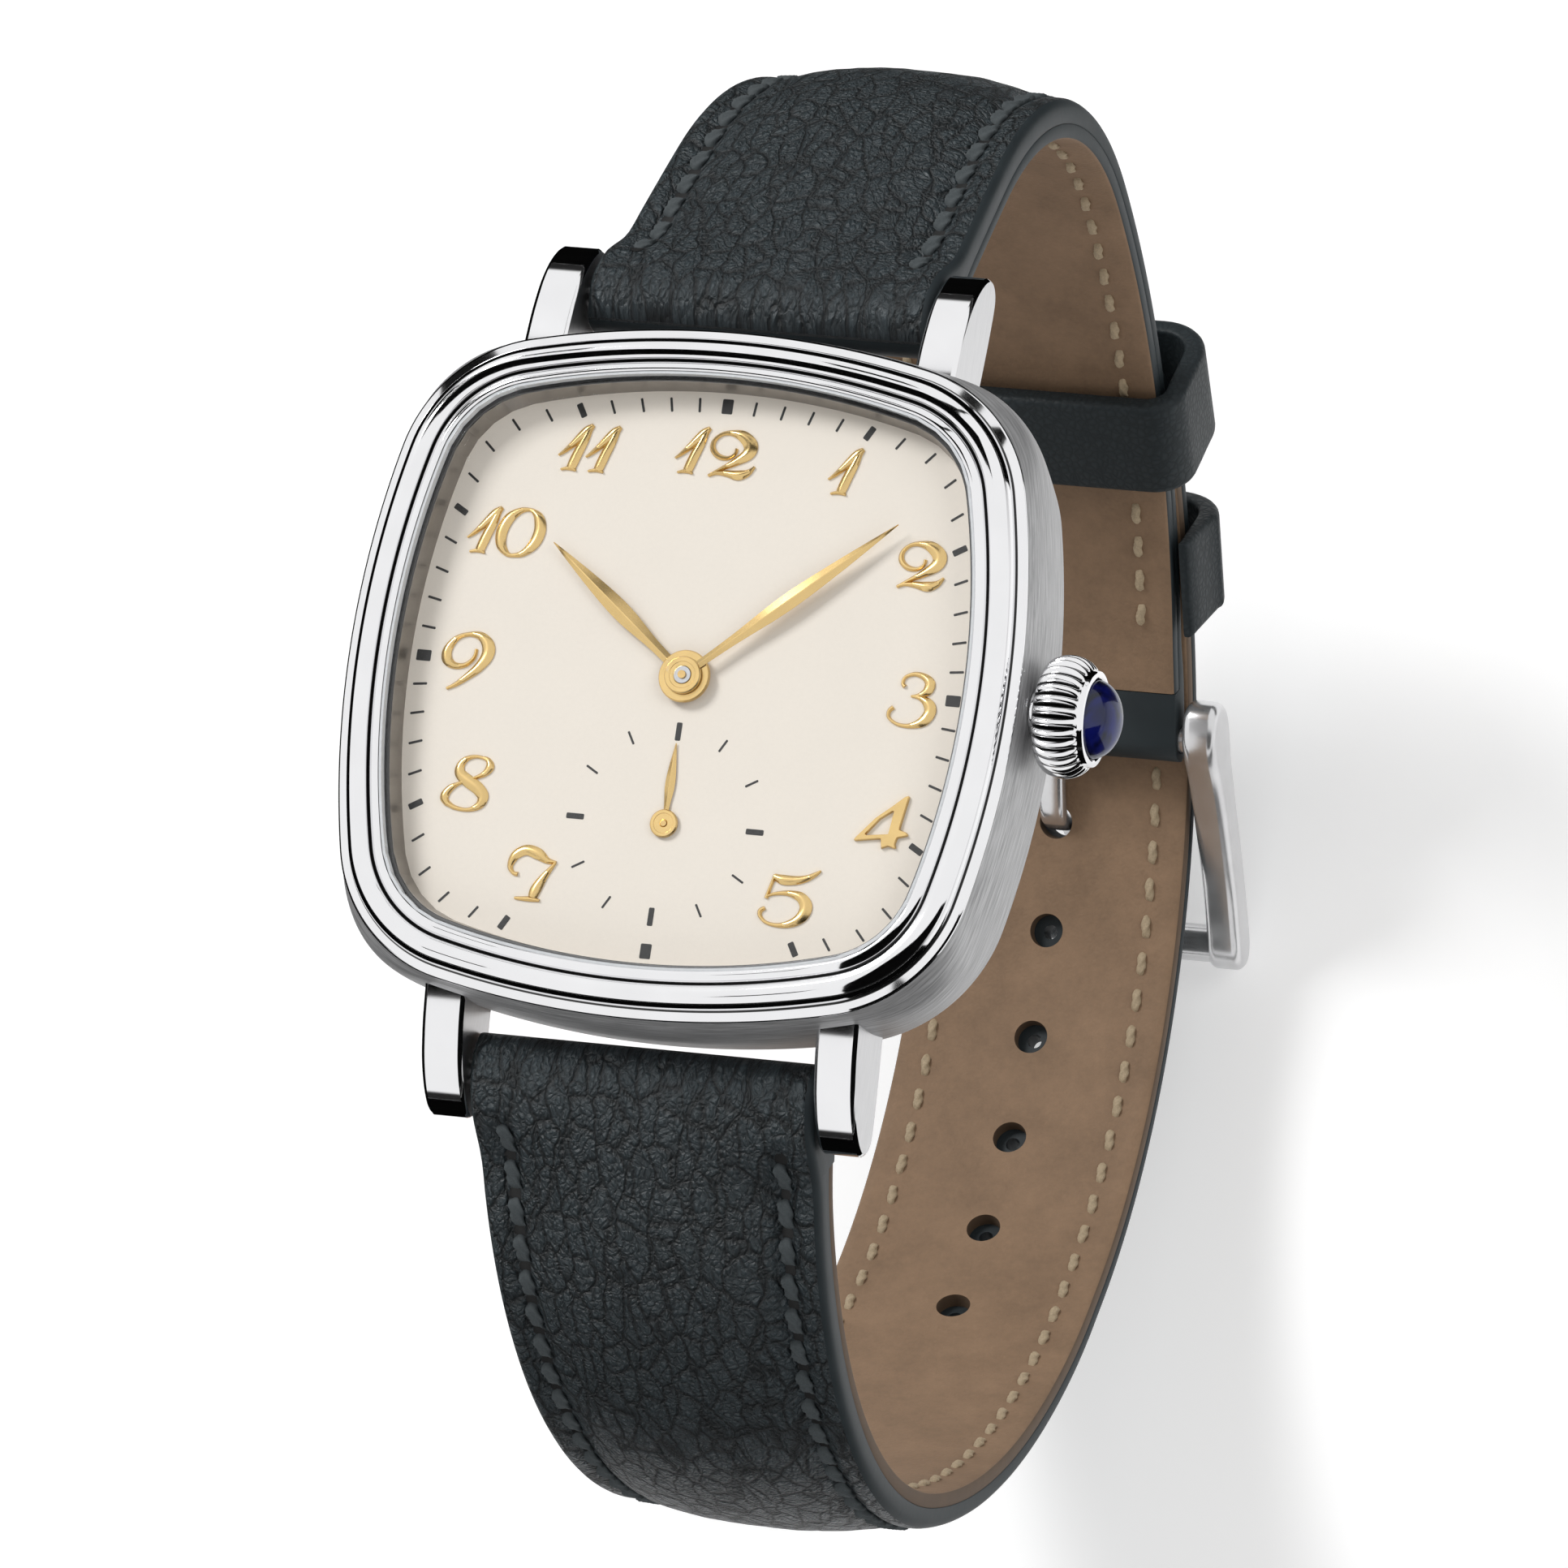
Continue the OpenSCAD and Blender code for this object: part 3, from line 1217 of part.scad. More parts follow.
module buckle_bar() {
    color("silver") on_buckle() along_x(-frame_in - frame_w + 0.1, 0, pin_r, 2 * (frame_in + frame_w) - 0.2);
}

// Strip of a given thickness along a line of the side view, as one outline
function strip(path, t) =
    let (last = len(path) - 1)
    let (turn = [for (i = [0:last])
        let (d = path[min(last, i + 1)] - path[max(0, i - 1)]) [-d[1], d[0]] / norm(d)])
    concat([for (i = [0:last]) path[i] + turn[i] * t / 2], [for (i = [last:-1:0]) path[i] - turn[i] * t / 2]);

// A place of the long side, seen from the buckle's pin: rise is its height over the leather's middle
function on_pin(s, rise) =
    let (q = long_at(s), p = q[0] + rise * across(q[1]), v = [-p[0], p[1]] - pin_place[0])
    [v * forward(pin_place[1]), v * across(pin_place[1])];

module buckle_tongue() {
    k = buckle_len - 0.35;
    // From the eye under the long strap, up through its hole and over the outer bar
    a = on_pin(tongue_hole, -strap_thin / 2);
    b = on_pin(tongue_hole, strap_thin / 2);
    c = on_pin(tongue_hole, strap_thin / 2 + 0.9);
    path = [[0.6, 0], a - [1.8, 0.575], a + [-0.6, -0.375], a + [0.1, 0.425], b + [0.02, -0.42],
        c + [0.32, 0], c + [1.32, 1], [0.79 * k, frame_rise + 1.2], [k + 0.9, frame_rise + 1.45]];
    color("silver") on_buckle() difference() {
        union() {
            along_x(-0.75, 0, 1.15, 1.5);
            translate([-0.6, 0, 0]) rotate([90, 0, 90]) linear_extrude(1.2) polygon(strip(path, 0.9));
        }
        along_x(-5, 0, pin_r + fit, 10);
    }
}

mid_case();
bezel();
crystal();
crystal_gasket();
inner_flange();
dial();
hour_numerals();
case_back();
case_back_gasket();
case_back_screws();
movement_ring();
crown_tube();
main_plate();
barrel_bridge();
train_bridge();
balance_cock();
bridge_screws();
jewels();
barrel();
mainspring();
ratchet_wheel();
crown_wheel();
click();
centre_wheel();
third_wheel();
fourth_wheel();
escape_wheel();
pallet_fork();
balance_wheel();
hairspring();
cannon_pinion();
minute_wheel();
hour_wheel();
setting_wheel();
winding_pinion();
sliding_clutch();
winding_stem();
setting_lever();
yoke();
hour_hand();
minute_hand();
seconds_hand();
crown();
crown_cabochon();
spring_bars();
spring_bar_tip_12_left();
spring_bar_tip_12_right();
spring_bar_tip_6_left();
spring_bar_tip_6_right();
strap_12();
strap_12_lining();
strap_6();
strap_6_lining();
fixed_keeper();
free_keeper();
buckle_frame();
buckle_tongue();
buckle_bar();
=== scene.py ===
"""Dress watch with a cushion case: the detailed pieces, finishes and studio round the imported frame."""

import cmath
import math
import random

import bmesh
import bpy
from mathutils import Matrix, Vector, noise


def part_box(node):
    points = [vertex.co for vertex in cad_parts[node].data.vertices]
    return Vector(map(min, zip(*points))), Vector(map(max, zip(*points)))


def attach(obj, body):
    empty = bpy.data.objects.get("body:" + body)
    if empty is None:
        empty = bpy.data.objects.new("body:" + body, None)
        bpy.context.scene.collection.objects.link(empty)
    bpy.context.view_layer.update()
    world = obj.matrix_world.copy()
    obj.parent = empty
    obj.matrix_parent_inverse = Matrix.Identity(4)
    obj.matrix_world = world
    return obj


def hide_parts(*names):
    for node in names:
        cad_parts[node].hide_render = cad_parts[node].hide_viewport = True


bl_info = {
    "name": "Dress watch",
    "version": (1, 0, 0),
    "blender": (4, 5, 0),
    "location": "View3D > Sidebar > Watch",
    "description": "Builds the pieces and finishes of a cushion-shaped dress watch",
    "category": "Add Mesh",
}

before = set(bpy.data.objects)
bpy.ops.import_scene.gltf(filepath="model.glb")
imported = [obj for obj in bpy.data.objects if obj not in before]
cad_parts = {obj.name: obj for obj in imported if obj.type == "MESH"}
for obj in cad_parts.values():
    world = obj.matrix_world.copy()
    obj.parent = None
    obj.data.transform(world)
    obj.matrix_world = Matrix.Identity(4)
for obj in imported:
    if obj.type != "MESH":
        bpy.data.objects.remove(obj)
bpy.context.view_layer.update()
MM = 0.001


def top_of(node):
    """Highest point of a node, in millimetres."""
    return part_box(node)[1].z / MM


DIAL_TOP = top_of("dial")
SEAT, CREST = 0.85, 2  # the bezel's foot and its crest, over the dial
STEM_Z = (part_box("crown")[0].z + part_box("crown")[1].z) / 2 / MM
CROWN_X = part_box("crown")[0].x / MM


def length(name, description, value, **options):
    """A size property, given in millimetres and held in metres."""
    return bpy.props.FloatProperty(name=name, description=description, default=value * MM, unit="LENGTH", **options)


def colour(name, description, value):
    return bpy.props.FloatVectorProperty(
        name=name, description=description, default=value, size=3, subtype="COLOR", min=0, max=1
    )


class CaseSettings(bpy.types.PropertyGroup):
    """Sizes of the case, its bezel and its crown."""

    bezel_half: length("Bezel half width", "From the hand axis to the bezel's flat side", 17.1)
    band_half: length("Band half width", "From the hand axis to the widest part of the band", 17.4)
    lug_gap: length("Lug gap", "Distance between the lugs", 18)
    lug_width: length("Lug width", "Width of one lug", 2.1)
    lug_bevel: length("Lug bevel", "Width of the bevel on a lug's edges", 0.16)
    crown_radius: length("Crown radius", "Radius over the crown's ribs", 3)
    crown_length: length("Crown length", "Length of the ribbed body", 2.3)
    crown_ribs: bpy.props.IntProperty(name="Crown ribs", description="Ribs round the crown", default=30, min=12)
    cabochon_radius: length("Cabochon radius", "Radius of the stone in the crown", 1.93)


class DialSettings(bpy.types.PropertyGroup):
    """Sizes of the dial's marks, numerals and hands."""

    ring_half: length("Minute ring", "Half width of the cushion that the minute marks lie on", 13.58)
    mark_length: length("Minute mark length", "Length of one minute mark", 0.72)
    mark_width: length("Minute mark width", "Width of one minute mark", 0.12)
    print_height: length("Print height", "Thickness of the printed ink", 0.012)
    seconds_drop: length("Small seconds drop", "From the hand axis down to the seconds axis", 7.27)
    numeral_height: length("Numeral height", "Height of one numeral", 2.5)
    numeral_relief: length("Numeral relief", "How far the numerals stand out of the dial", 0.2)
    hour_length: length("Hour hand", "From the axis to the hour hand's tip", 9.8)
    minute_length: length("Minute hand", "From the axis to the minute hand's tip", 12.8)
    seconds_length: length("Seconds hand", "From its axis to the seconds hand's tip", 4)
    leaf_width: length("Leaf width", "Widest part of the minute hand's leaf", 0.85)


class StrapSettings(bpy.types.PropertyGroup):
    """Sizes of the strap, its stitches, keepers and buckle."""

    width: length("Width at the lugs", "Width of the strap between the lugs", 17.6)
    end_width: length("Width at the buckle", "Width of the strap at the buckle", 14.4)
    thickness: length("Padded thickness", "Thickness of the strap at the lugs", 3.2)
    thin: length("Thin thickness", "Thickness of the strap past its padding", 2.1)
    lining: length("Lining thickness", "Thickness of the lining leather", 0.8)
    short_length: length("Short side", "From the spring bar to the buckle's pin", 72)
    overlap: length("Overlap", "How far the long side reaches past the pin", 26.4)
    bar_y: length("Spring bar distance", "From the hand axis to the spring bar", 19.6)
    bar_z: length("Spring bar height", "From the case back's face up to the spring bar", 2.3)
    hole_radius: length("Hole radius", "Radius of the punched holes", 0.9)
    hole_pitch: length("Hole pitch", "Distance between punched holes", 6)
    tongue_reach: length("Tongue reach", "From the pin to the hole in use", 5.7)
    stitch_inset: length("Stitch inset", "From the strap's edge to its seam", 1.75)
    stitch_pitch: length("Stitch pitch", "Distance between the seam's stitches", 2.05)
    keeper_length: length("Keeper length", "Length of a keeper along the strap", 5.5)
    keeper_leather: length("Keeper leather", "Thickness of a keeper's leather", 1.1)
    buckle_length: length("Buckle length", "From the pin to the buckle's outer bar", 13)


class FinishSettings(bpy.types.PropertyGroup):
    """Colours of the finishes."""

    steel: colour("Steel", "Polished and brushed steel", (0.76, 0.76, 0.77))
    gold: colour("Gold", "Numerals and hands", (0.7, 0.5, 0.22))
    dial: colour("Dial", "Cream dial", (0.87, 0.81, 0.725))
    ink: colour("Ink", "Printed marks", (0.012, 0.012, 0.012))
    leather: colour("Leather", "Upper leather", (0.017, 0.023, 0.026))
    lining: colour("Lining", "Lining leather", (0.25, 0.162, 0.1))
    thread: colour("Seam thread", "Thread on the outside", (0.05, 0.06, 0.064))
    lining_thread: colour("Lining thread", "Thread on the lining", (0.37, 0.29, 0.19))
    stone: colour("Stone", "Cabochon in the crown", (0.003, 0.006, 0.12))
    brass: colour("Brass", "Wheels of the movement", (0.72, 0.5, 0.22))
    nickel: colour("Nickel", "Plates and bridges", (0.62, 0.6, 0.56))


def settings(group):
    return getattr(bpy.context.scene, "watch_" + group)


class Sizes:
    """Sizes of a group of settings, in millimetres."""

    def __init__(self, group):
        self.group = settings(group)

    def __getattr__(self, key):
        return getattr(self.group, key) / MM


# Shader expressions


class Wire:
    """A node's output that takes part in expressions: each operation adds its Math node."""

    def __init__(self, shader, socket):
        self.shader = shader
        self.socket = socket

    def math(self, operation, *values):
        return self.shader.add("ShaderNodeMath", {"operation": operation}, dict(enumerate(values)))

    def __add__(self, other):
        return self.math("ADD", self, other)

    def __radd__(self, other):
        return self.math("ADD", other, self)

    def __sub__(self, other):
        return self.math("SUBTRACT", self, other)

    def __rsub__(self, other):
        return self.math("SUBTRACT", other, self)

    def __mul__(self, other):
        return self.math("MULTIPLY", self, other)

    def __rmul__(self, other):
        return self.math("MULTIPLY", other, self)

    def __pow__(self, other):
        return self.math("POWER", self, other)

    def __rpow__(self, other):
        return self.math("POWER", other, self)

    def clamp(self):
        return self.math("MINIMUM", self.math("MAXIMUM", self, 0.0), 1.0)


class Shader:
    """A material's or the world's node tree, filled by calls."""

    def __init__(self, owner):
        owner.use_nodes = True
        self.tree = owner.node_tree
        self.tree.nodes.clear()

    def add(self, kind, options=None, inputs=None, output=0):
        """Add a node: its options first, then the values or links of its sockets, and give one output."""
        node = self.tree.nodes.new(kind)
        for name, value in (options or {}).items():
            if name == "stops":
                ramp = node.color_ramp
                while len(ramp.elements) < len(value):
                    ramp.elements.new(0.5)
                for element, (place, tint) in zip(ramp.elements, value):
                    element.position = place
                    element.color = (*tint, 1)
            else:
                setattr(node, name, value)
        for name, value in (inputs or {}).items():
            if isinstance(value, Wire):
                self.tree.links.new(value.socket, node.inputs[name])
            else:
                node.inputs[name].default_value = value
        return Wire(self, node.outputs[output]) if node.outputs else None

    def place(self, stretch=1, source="Object"):
        """Coordinates of the object or its map, stretched alike or along each axis."""
        where = self.add("ShaderNodeTexCoord", output=source)
        scale = stretch if isinstance(stretch, tuple) else (stretch,) * 3
        return self.add("ShaderNodeMapping", inputs={"Vector": where, "Scale": scale})

    def noise(self, where, scale=1.0, detail=3.0, rough=0.55, warp=0.0):
        return self.add("ShaderNodeTexNoise", inputs={
            "Vector": where, "Scale": scale, "Detail": detail, "Roughness": rough, "Distortion": warp})

    def cells(self, where, scale):
        """Distance from the edges of a cell pattern."""
        return self.add("ShaderNodeTexVoronoi", {"feature": "DISTANCE_TO_EDGE"}, {
            "Vector": where, "Scale": scale, "Randomness": 1.0})

    def blend(self, factor, first, second):
        """Colour that goes from first to second as factor goes from 0 to 1."""
        return self.add("ShaderNodeMix", {"data_type": "RGBA"}, {0: factor, 6: (*first, 1), 7: (*second, 1)}, 2)

    def bump(self, height, depth, strength=1.0):
        """Normal from a height that runs from 0 to 1, with its depth in millimetres."""
        return self.add("ShaderNodeBump", inputs={"Height": height, "Distance": depth * MM, "Strength": strength})

    def principled(self, tint, rough, metallic=0.0):
        return self.add("ShaderNodeBsdfPrincipled", inputs={
            "Base Color": tint, "Roughness": rough, "Metallic": metallic})

    def surface(self, **inputs):
        """Principled surface to the material's output."""
        names = {key.replace("_", " ").title().replace("Ior", "IOR"): value for key, value in inputs.items()}
        self.show(self.add("ShaderNodeBsdfPrincipled", inputs=names))

    def show(self, shade):
        self.add("ShaderNodeOutputMaterial", inputs={"Surface": shade})

    def reflecting(self, body, tint, rough, least, power, rise):
        """Body under a clear skin that mirrors more towards its edge."""
        facing = self.add("ShaderNodeLayerWeight", inputs={"Blend": 0.5}, output="Facing")
        gloss = self.principled((*tint, 1), rough, 1.0)
        self.show(self.add("ShaderNodeMixShader", inputs={0: least + facing ** power * rise, 1: body, 2: gloss}))


def tone(rgb, factor):
    return tuple(min(1.0, c * factor) for c in rgb)


def tint_of(name):
    """Colour of a finish from the panel."""
    return tuple(getattr(settings("finish"), name))


# Finishes: each fills the node tree of its material


def grained(tint, low, high, scale, rough, spread=0.0, detail=3.0, harsh=0.55, bump=None, **more):
    """Finish that follows one fine noise between two tones of a colour, by name or by value."""

    def fill(sh):
        rgb = tint_of(tint) if isinstance(tint, str) else tint
        grain = sh.noise(sh.place(scale), 1.0, detail, harsh)
        inputs = dict(more)
        if bump:
            inputs["normal"] = sh.bump(grain, *bump)
        sh.surface(base_color=sh.blend(grain, tone(rgb, low), tone(rgb, high)),
                   roughness=rough + grain * spread if spread else rough, **inputs)

    return fill


def metal(tint, rough):
    """Plain turned or plated metal with a fine grain."""
    return grained(tint, 0.85, 1.12, 2500, rough, 0.08, harsh=0.65, bump=(0.004, 0.4), metallic=1.0)


def seal(tint):
    return grained(tint, 0.85, 1.1, 4000, 0.55, 0.15)


def thread(tint):
    return grained(tint, 0.6, 1.5, 9000, 0.75, harsh=0.7, bump=(0.02, 0.6))


def brushed_steel(sh):
    """Lines of the brush run round the band, so the noise is fine up it and long round it."""
    steel = tint_of("steel")
    where = sh.place()
    x, y, z = (sh.add("ShaderNodeSeparateXYZ", inputs={0: where}, output=k) for k in range(3))
    turn = x.math("ARCTAN2", y, x)

    def streaked(along, up, *rest):
        return sh.noise(sh.add("ShaderNodeCombineXYZ", inputs={0: turn * along, 1: z * up}), 1.0, *rest)

    lines = streaked(7.0, 9000.0, 3.0, 0.7)
    broad = streaked(3.0, 1400.0, 2.0)
    streaks = ((lines - 0.5) * 3.4 + 0.5).clamp()
    tint = sh.blend(streaks * 0.8 + broad * 0.2, tone(steel, 0.36), tone(steel, 0.78))
    sh.surface(base_color=tint, metallic=0.55, roughness=0.42 + lines * 0.1, normal=sh.bump(lines, 0.015, 0.8))


def dial_cream(sh):
    tint = tint_of("dial")
    grain = sh.noise(sh.place(5200), 1.0, 4.0, 0.7)
    cloud = sh.noise(sh.place(160), 1.0, 2.0)
    shade = sh.blend(grain * 0.6 + cloud * 0.4, tone(tint, 0.95), tone(tint, 1.05))
    sh.surface(base_color=shade, roughness=0.62 + grain * 0.1, normal=sh.bump(grain, 0.012, 0.5))


def crystal_clear(sh):
    sh.reflecting(sh.add("ShaderNodeBsdfTransparent"), (0.9, 0.94, 1.0), 0.02, 0.0015, 5.0, 0.75)


def stone_blue(sh):
    tint = tint_of("stone")
    veins = sh.noise(sh.place(420), 1.0, 2.0, 0.5, 1.5)
    depth = sh.add("ShaderNodeValToRGB", {"stops": [(0.42, tone(tint, 0.06)), (0.66, tint)]}, {"Fac": veins})
    body = sh.add("ShaderNodeBsdfPrincipled", inputs={
        "Base Color": depth, "Roughness": 0.3, "Specular IOR Level": 0.1})
    sh.reflecting(body, (0.8, 0.86, 1.0), 0.06, 0.045, 4.0, 0.3)


def leather(sh):
    """Pebbled grain, crossed by a net of creases that run along the strap."""
    tint = tint_of("leather")
    where = sh.place(100, "UV")
    drift = sh.add("ShaderNodeTexNoise", inputs={"Vector": where, "Scale": 0.5, "Detail": 3.0}, output="Color")
    bent = sh.add("ShaderNodeVectorMath", {"operation": "MULTIPLY_ADD"}, {0: drift, 1: (1.1, 1.1, 0.0), 2: where})

    def net(scale, turn, width):
        spread = sh.add("ShaderNodeMapping", inputs={"Vector": bent, "Scale": scale, "Rotation": (0, 0, turn)})
        return (sh.cells(spread, 1.0) * width).clamp()

    slack = sh.noise(where, 0.14, 2.0)
    creases = net((0.45, 1.0, 1.0), 0.25, 9.0)
    folds = net((1.0, 1.5, 1.0), -0.3, 8.0)
    pebbles = net((2.7, 3.5, 1.0), 0.0, 2.8)
    fine = sh.noise(bent, 7.5, 3.0, 0.65)
    height = creases * (0.1 + slack * 0.5) + folds * 0.2 + pebbles * 0.27 + fine * 0.34
    # Base colour: painted shade in the creases and painted highlight on the ridges between them
    crease_shade_ridge_highlight = creases * (0.5 + folds * 0.5) * (0.3 + pebbles * 0.4 + fine * 0.6)
    sh.surface(base_color=sh.blend(crease_shade_ridge_highlight, tone(tint, 0.34), tone(tint, 2.5)), roughness=0.54 - crease_shade_ridge_highlight * 0.2,
               specular_ior_level=0.58, normal=sh.bump(height, 0.45))


def smooth_leather(sh):
    tint = tint_of("leather")
    where = sh.place(1000)
    grain = (sh.cells(where, 2.6) * 3.0).clamp() * 0.6 + sh.noise(where, 1.1, 4.0) * 0.4
    sh.surface(base_color=sh.blend(grain, tone(tint, 0.7), tone(tint, 1.25)), roughness=0.58 - grain * 0.1,
               specular_ior_level=0.25, normal=sh.bump(grain, 0.04, 0.7))


def lining_leather(sh):
    tint = tint_of("lining")
    where = sh.place(1000)
    pores = (sh.cells(where, 3.2) * 2.4).clamp()
    cloud = sh.noise(where, 0.3, 5.0, 0.65)
    fine = sh.noise(where, 2.5, 4.0, 0.7)
    patch = ((cloud - 0.5) * 1.8 + 0.5).clamp()
    shade = sh.blend(patch * 0.55 + fine * 0.45, tone(tint, 0.62), tone(tint, 1.3))
    sh.surface(base_color=shade, roughness=0.66 + fine * 0.12, specular_ior_level=0.3,
               normal=sh.bump(pores * 0.6 + fine * 0.4, 0.03, 0.6))


def striped_nickel(sh):
    tint = tint_of("nickel")
    where = sh.add("ShaderNodeTexCoord", output="Object")
    stripes = sh.add("ShaderNodeTexWave", {"wave_type": "BANDS", "bands_direction": "DIAGONAL"},
                     {"Vector": where, "Scale": 90.0, "Distortion": 0.0})
    grain = sh.noise(sh.place(3000))
    sh.surface(base_color=sh.blend(stripes, tone(tint, 0.8), tone(tint, 1.15)), metallic=1.0,
               roughness=0.22 + grain * 0.1, normal=sh.bump(stripes * 0.8 + grain * 0.2, 0.02, 0.4))


def ruby(sh):
    glow = sh.noise(sh.place(1500))
    sh.surface(base_color=sh.blend(glow, (0.35, 0.0, 0.04), (0.75, 0.02, 0.12)), roughness=0.06, coat_weight=1.0)


def studio_paper(sh):
    plain = sh.principled(sh.blend(sh.noise(sh.place(3)), (0.86, 0.86, 0.86), (0.88, 0.88, 0.88)), 0.8)
    white = sh.add("ShaderNodeEmission", inputs={"Color": (1, 1, 1, 1), "Strength": 0.32})
    sh.show(sh.add("ShaderNodeAddShader", inputs={0: plain, 1: white}))


FINISHES = {
    "polished_steel": grained("steel", 1.06, 1.16, 400, 0.05, 0.03, detail=2.0, metallic=1.0),
    "buckle_steel": grained("steel", 0.8, 1.0, 900, 0.17, 0.1, metallic=0.85),
    "lug_side_steel": grained("steel", 0.68, 0.98, (9000, 500, 9000), 0.26, 0.1, 4.0, 0.7, (0.006, 0.6), metallic=1.0),
    "gold": grained("gold", 0.95, 1.12, 900, 0.2, 0.08, bump=(0.004, 0.3), metallic=1.0),
    "ink": grained("ink", 1.0, 2.5, 6000, 0.45, 0.1),
    "edge_paint": grained("leather", 0.9, 1.5, 500, 0.5, 0.1, bump=(0.05, 0.5), specular_ior_level=0.3),
    "lining_edge": grained("lining", 0.315, 0.54, 900, 0.7, 0.1),
    "seam_thread": thread("thread"), "lining_thread": thread("lining_thread"),
    "rubber_seal": seal((0.02, 0.02, 0.02)), "crystal_seal": seal((0.7, 0.72, 0.74)),
    # Near-black flat spots at the stitch holes: painted shade of the holes
    "awl_hole": seal((0.006, 0.006, 0.006)),
    # The dark groove steels of the bezel and the crown are painted shade in their grooves
    "bezel_grooves": metal((0.09, 0.09, 0.09), 0.3), "crown_grooves": metal((0.1, 0.1, 0.1), 0.3),
    "flange_steel": metal((0.36, 0.34, 0.32), 0.32), "gilt_brass": metal("brass", 0.2),
    "blued_steel": metal((0.03, 0.06, 0.32), 0.14), "spring_steel": metal((0.6, 0.61, 0.63), 0.16),
    "card_black": grained((0.001, 0.001, 0.001), 1, 3, 20, 1.0, specular_ior_level=0.0),
    "brushed_steel": brushed_steel, "dial_cream": dial_cream, "crystal_clear": crystal_clear,
    "stone_blue": stone_blue, "leather": leather, "smooth_leather": smooth_leather,
    "lining_leather": lining_leather, "striped_nickel": striped_nickel, "ruby": ruby, "studio_paper": studio_paper,
}

# Finish of each slot of the frame's own nodes, by material
NODE_FINISHES = {
    "sapphire": "crystal_clear", "blue_stone": "stone_blue", "leather": "smooth_leather", "lining": "lining_leather",
    "gasket": "rubber_seal", "clear_gasket": "crystal_seal", "brass": "gilt_brass", "nickel": "striped_nickel",
    "blued": "blued_steel",
}
for same in ("polished_steel", "brushed_steel", "dial_cream", "gold", "ruby", "spring_steel"):
    NODE_FINISHES[same] = same


def finish(name):
    """Material of a finish, built once."""
    found = bpy.data.materials.get("watch_" + name)
    if found is None:
        found = bpy.data.materials.new("watch_" + name)
        FINISHES[name](Shader(found))
    return found


# Mesh helpers: points are in millimetres in the frame of the part


def smooth(k):
    k = min(1.0, max(0.0, k))
    return k * k * (3 - 2 * k)


def mix(a, b, k):
    return a + (b - a) * min(1.0, max(0.0, k))


def mesh_of(name, points, faces, finishes):
    """Mesh from points in millimetres, with the materials of its finishes."""
    mesh = bpy.data.meshes.new(name)
    mesh.from_pydata([Vector(p) * MM for p in points], [], faces)
    for key in finishes:
        mesh.materials.append(finish(key))
    return mesh


def linked(name, data):
    """Object of this data in the scene."""
    obj = bpy.data.objects.new(name, data)
    bpy.context.scene.collection.objects.link(obj)
    return obj


def build(name, parts, finishes, body="case", replaces=(), marks=None, uv=None, sharp=35, slot=None):
    """One object from parts, riding on a body: wound outwards and shaded smooth up to the sharp angle."""
    points, faces = [], []
    for some, more in parts:
        faces += [tuple(len(points) + v for v in face) for face in more]
        points += some
    mesh = mesh_of(name, points, faces, finishes)
    if marks:
        mesh.polygons.foreach_set("material_index", marks)
    if uv:
        layer = mesh.uv_layers.new(name="UVMap")
        for loop in mesh.loops:
            layer.data[loop.index].uv = uv[loop.vertex_index]
    wind_outwards(mesh)
    mesh.polygons.foreach_set("use_smooth", [True] * len(mesh.polygons))
    mesh.set_sharp_from_angle(angle=math.radians(sharp))
    obj = linked(name, mesh)
    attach(obj, body)
    if replaces:
        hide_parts(*replaces)
    return obj


def wind_outwards(mesh):
    work = bmesh.new()
    work.from_mesh(mesh)
    bmesh.ops.recalc_face_normals(work, faces=work.faces)
    work.to_mesh(mesh)
    work.free()


def loft(rings, tube=False):
    """Points and faces through rings of equal length: the ends are capped, or with tube joined to each other."""
    n, last = len(rings[0]), len(rings) - 1
    faces = []
    for i in range(last + 1 if tube else last):
        j = (i + 1) % len(rings)
        for k in range(n):
            m = (k + 1) % n
            faces.append((i * n + k, i * n + m, j * n + m, j * n + k))
    if not tube:
        faces += [tuple(range(n))[::-1], tuple(last * n + k for k in range(n))]
    return [p for ring in rings for p in ring], faces


def spokes(count):
    """Cosine and sine of equal steps round a circle."""
    return [(math.cos(2 * math.pi * k / count), math.sin(2 * math.pi * k / count)) for k in range(count)]


def normals(line, closed=False):
    """Unit normal at each point of a plane line, a quarter turn on from its direction."""
    n = len(line)
    out = []
    for i in range(n):
        a, b = (line[i - 1], line[(i + 1) % n]) if closed else (line[max(0, i - 1)], line[min(n - 1, i + 1)])
        size = math.hypot(b[0] - a[0], b[1] - a[1]) or 1
        out.append((-(b[1] - a[1]) / size, (b[0] - a[0]) / size))
    return out


def curve_through(points, steps, closed=False):
    """Smooth curve through points of any dimension."""
    n = len(points)
    out = []
    for i in range(n if closed else n - 1):
        a, b, c, d = (
            points[(i + k) % n] if closed else points[min(n - 1, max(0, i + k))] for k in (-1, 0, 1, 2)
        )
        for j in range(steps):
            t = j / steps
            out.append(tuple(
                0.5 * (2 * q + (r - p) * t + (2 * p - 5 * q + 4 * r - s) * t * t + (3 * q - p - 3 * r + s) * t**3)
                for p, q, r, s in zip(a, b, c, d)
            ))
    if not closed:
        out.append(tuple(points[-1]))
    return out


def chain(*runs):
    """Smooth runs that meet in sharp corners."""
    out = []
    for run in runs:
        out += curve_through(run, 5)[1 if out else 0:]
    return out


def inset(outline, depth):
    """Closed plan outline moved inwards by depth."""
    area = sum(a[0] * b[1] - b[0] * a[1] for a, b in zip(outline, outline[1:] + outline[:1]))
    side = 1 if area > 0 else -1
    return [(x + side * nx * depth, y + side * ny * depth) for (x, y), (nx, ny) in zip(outline, normals(outline, True))]


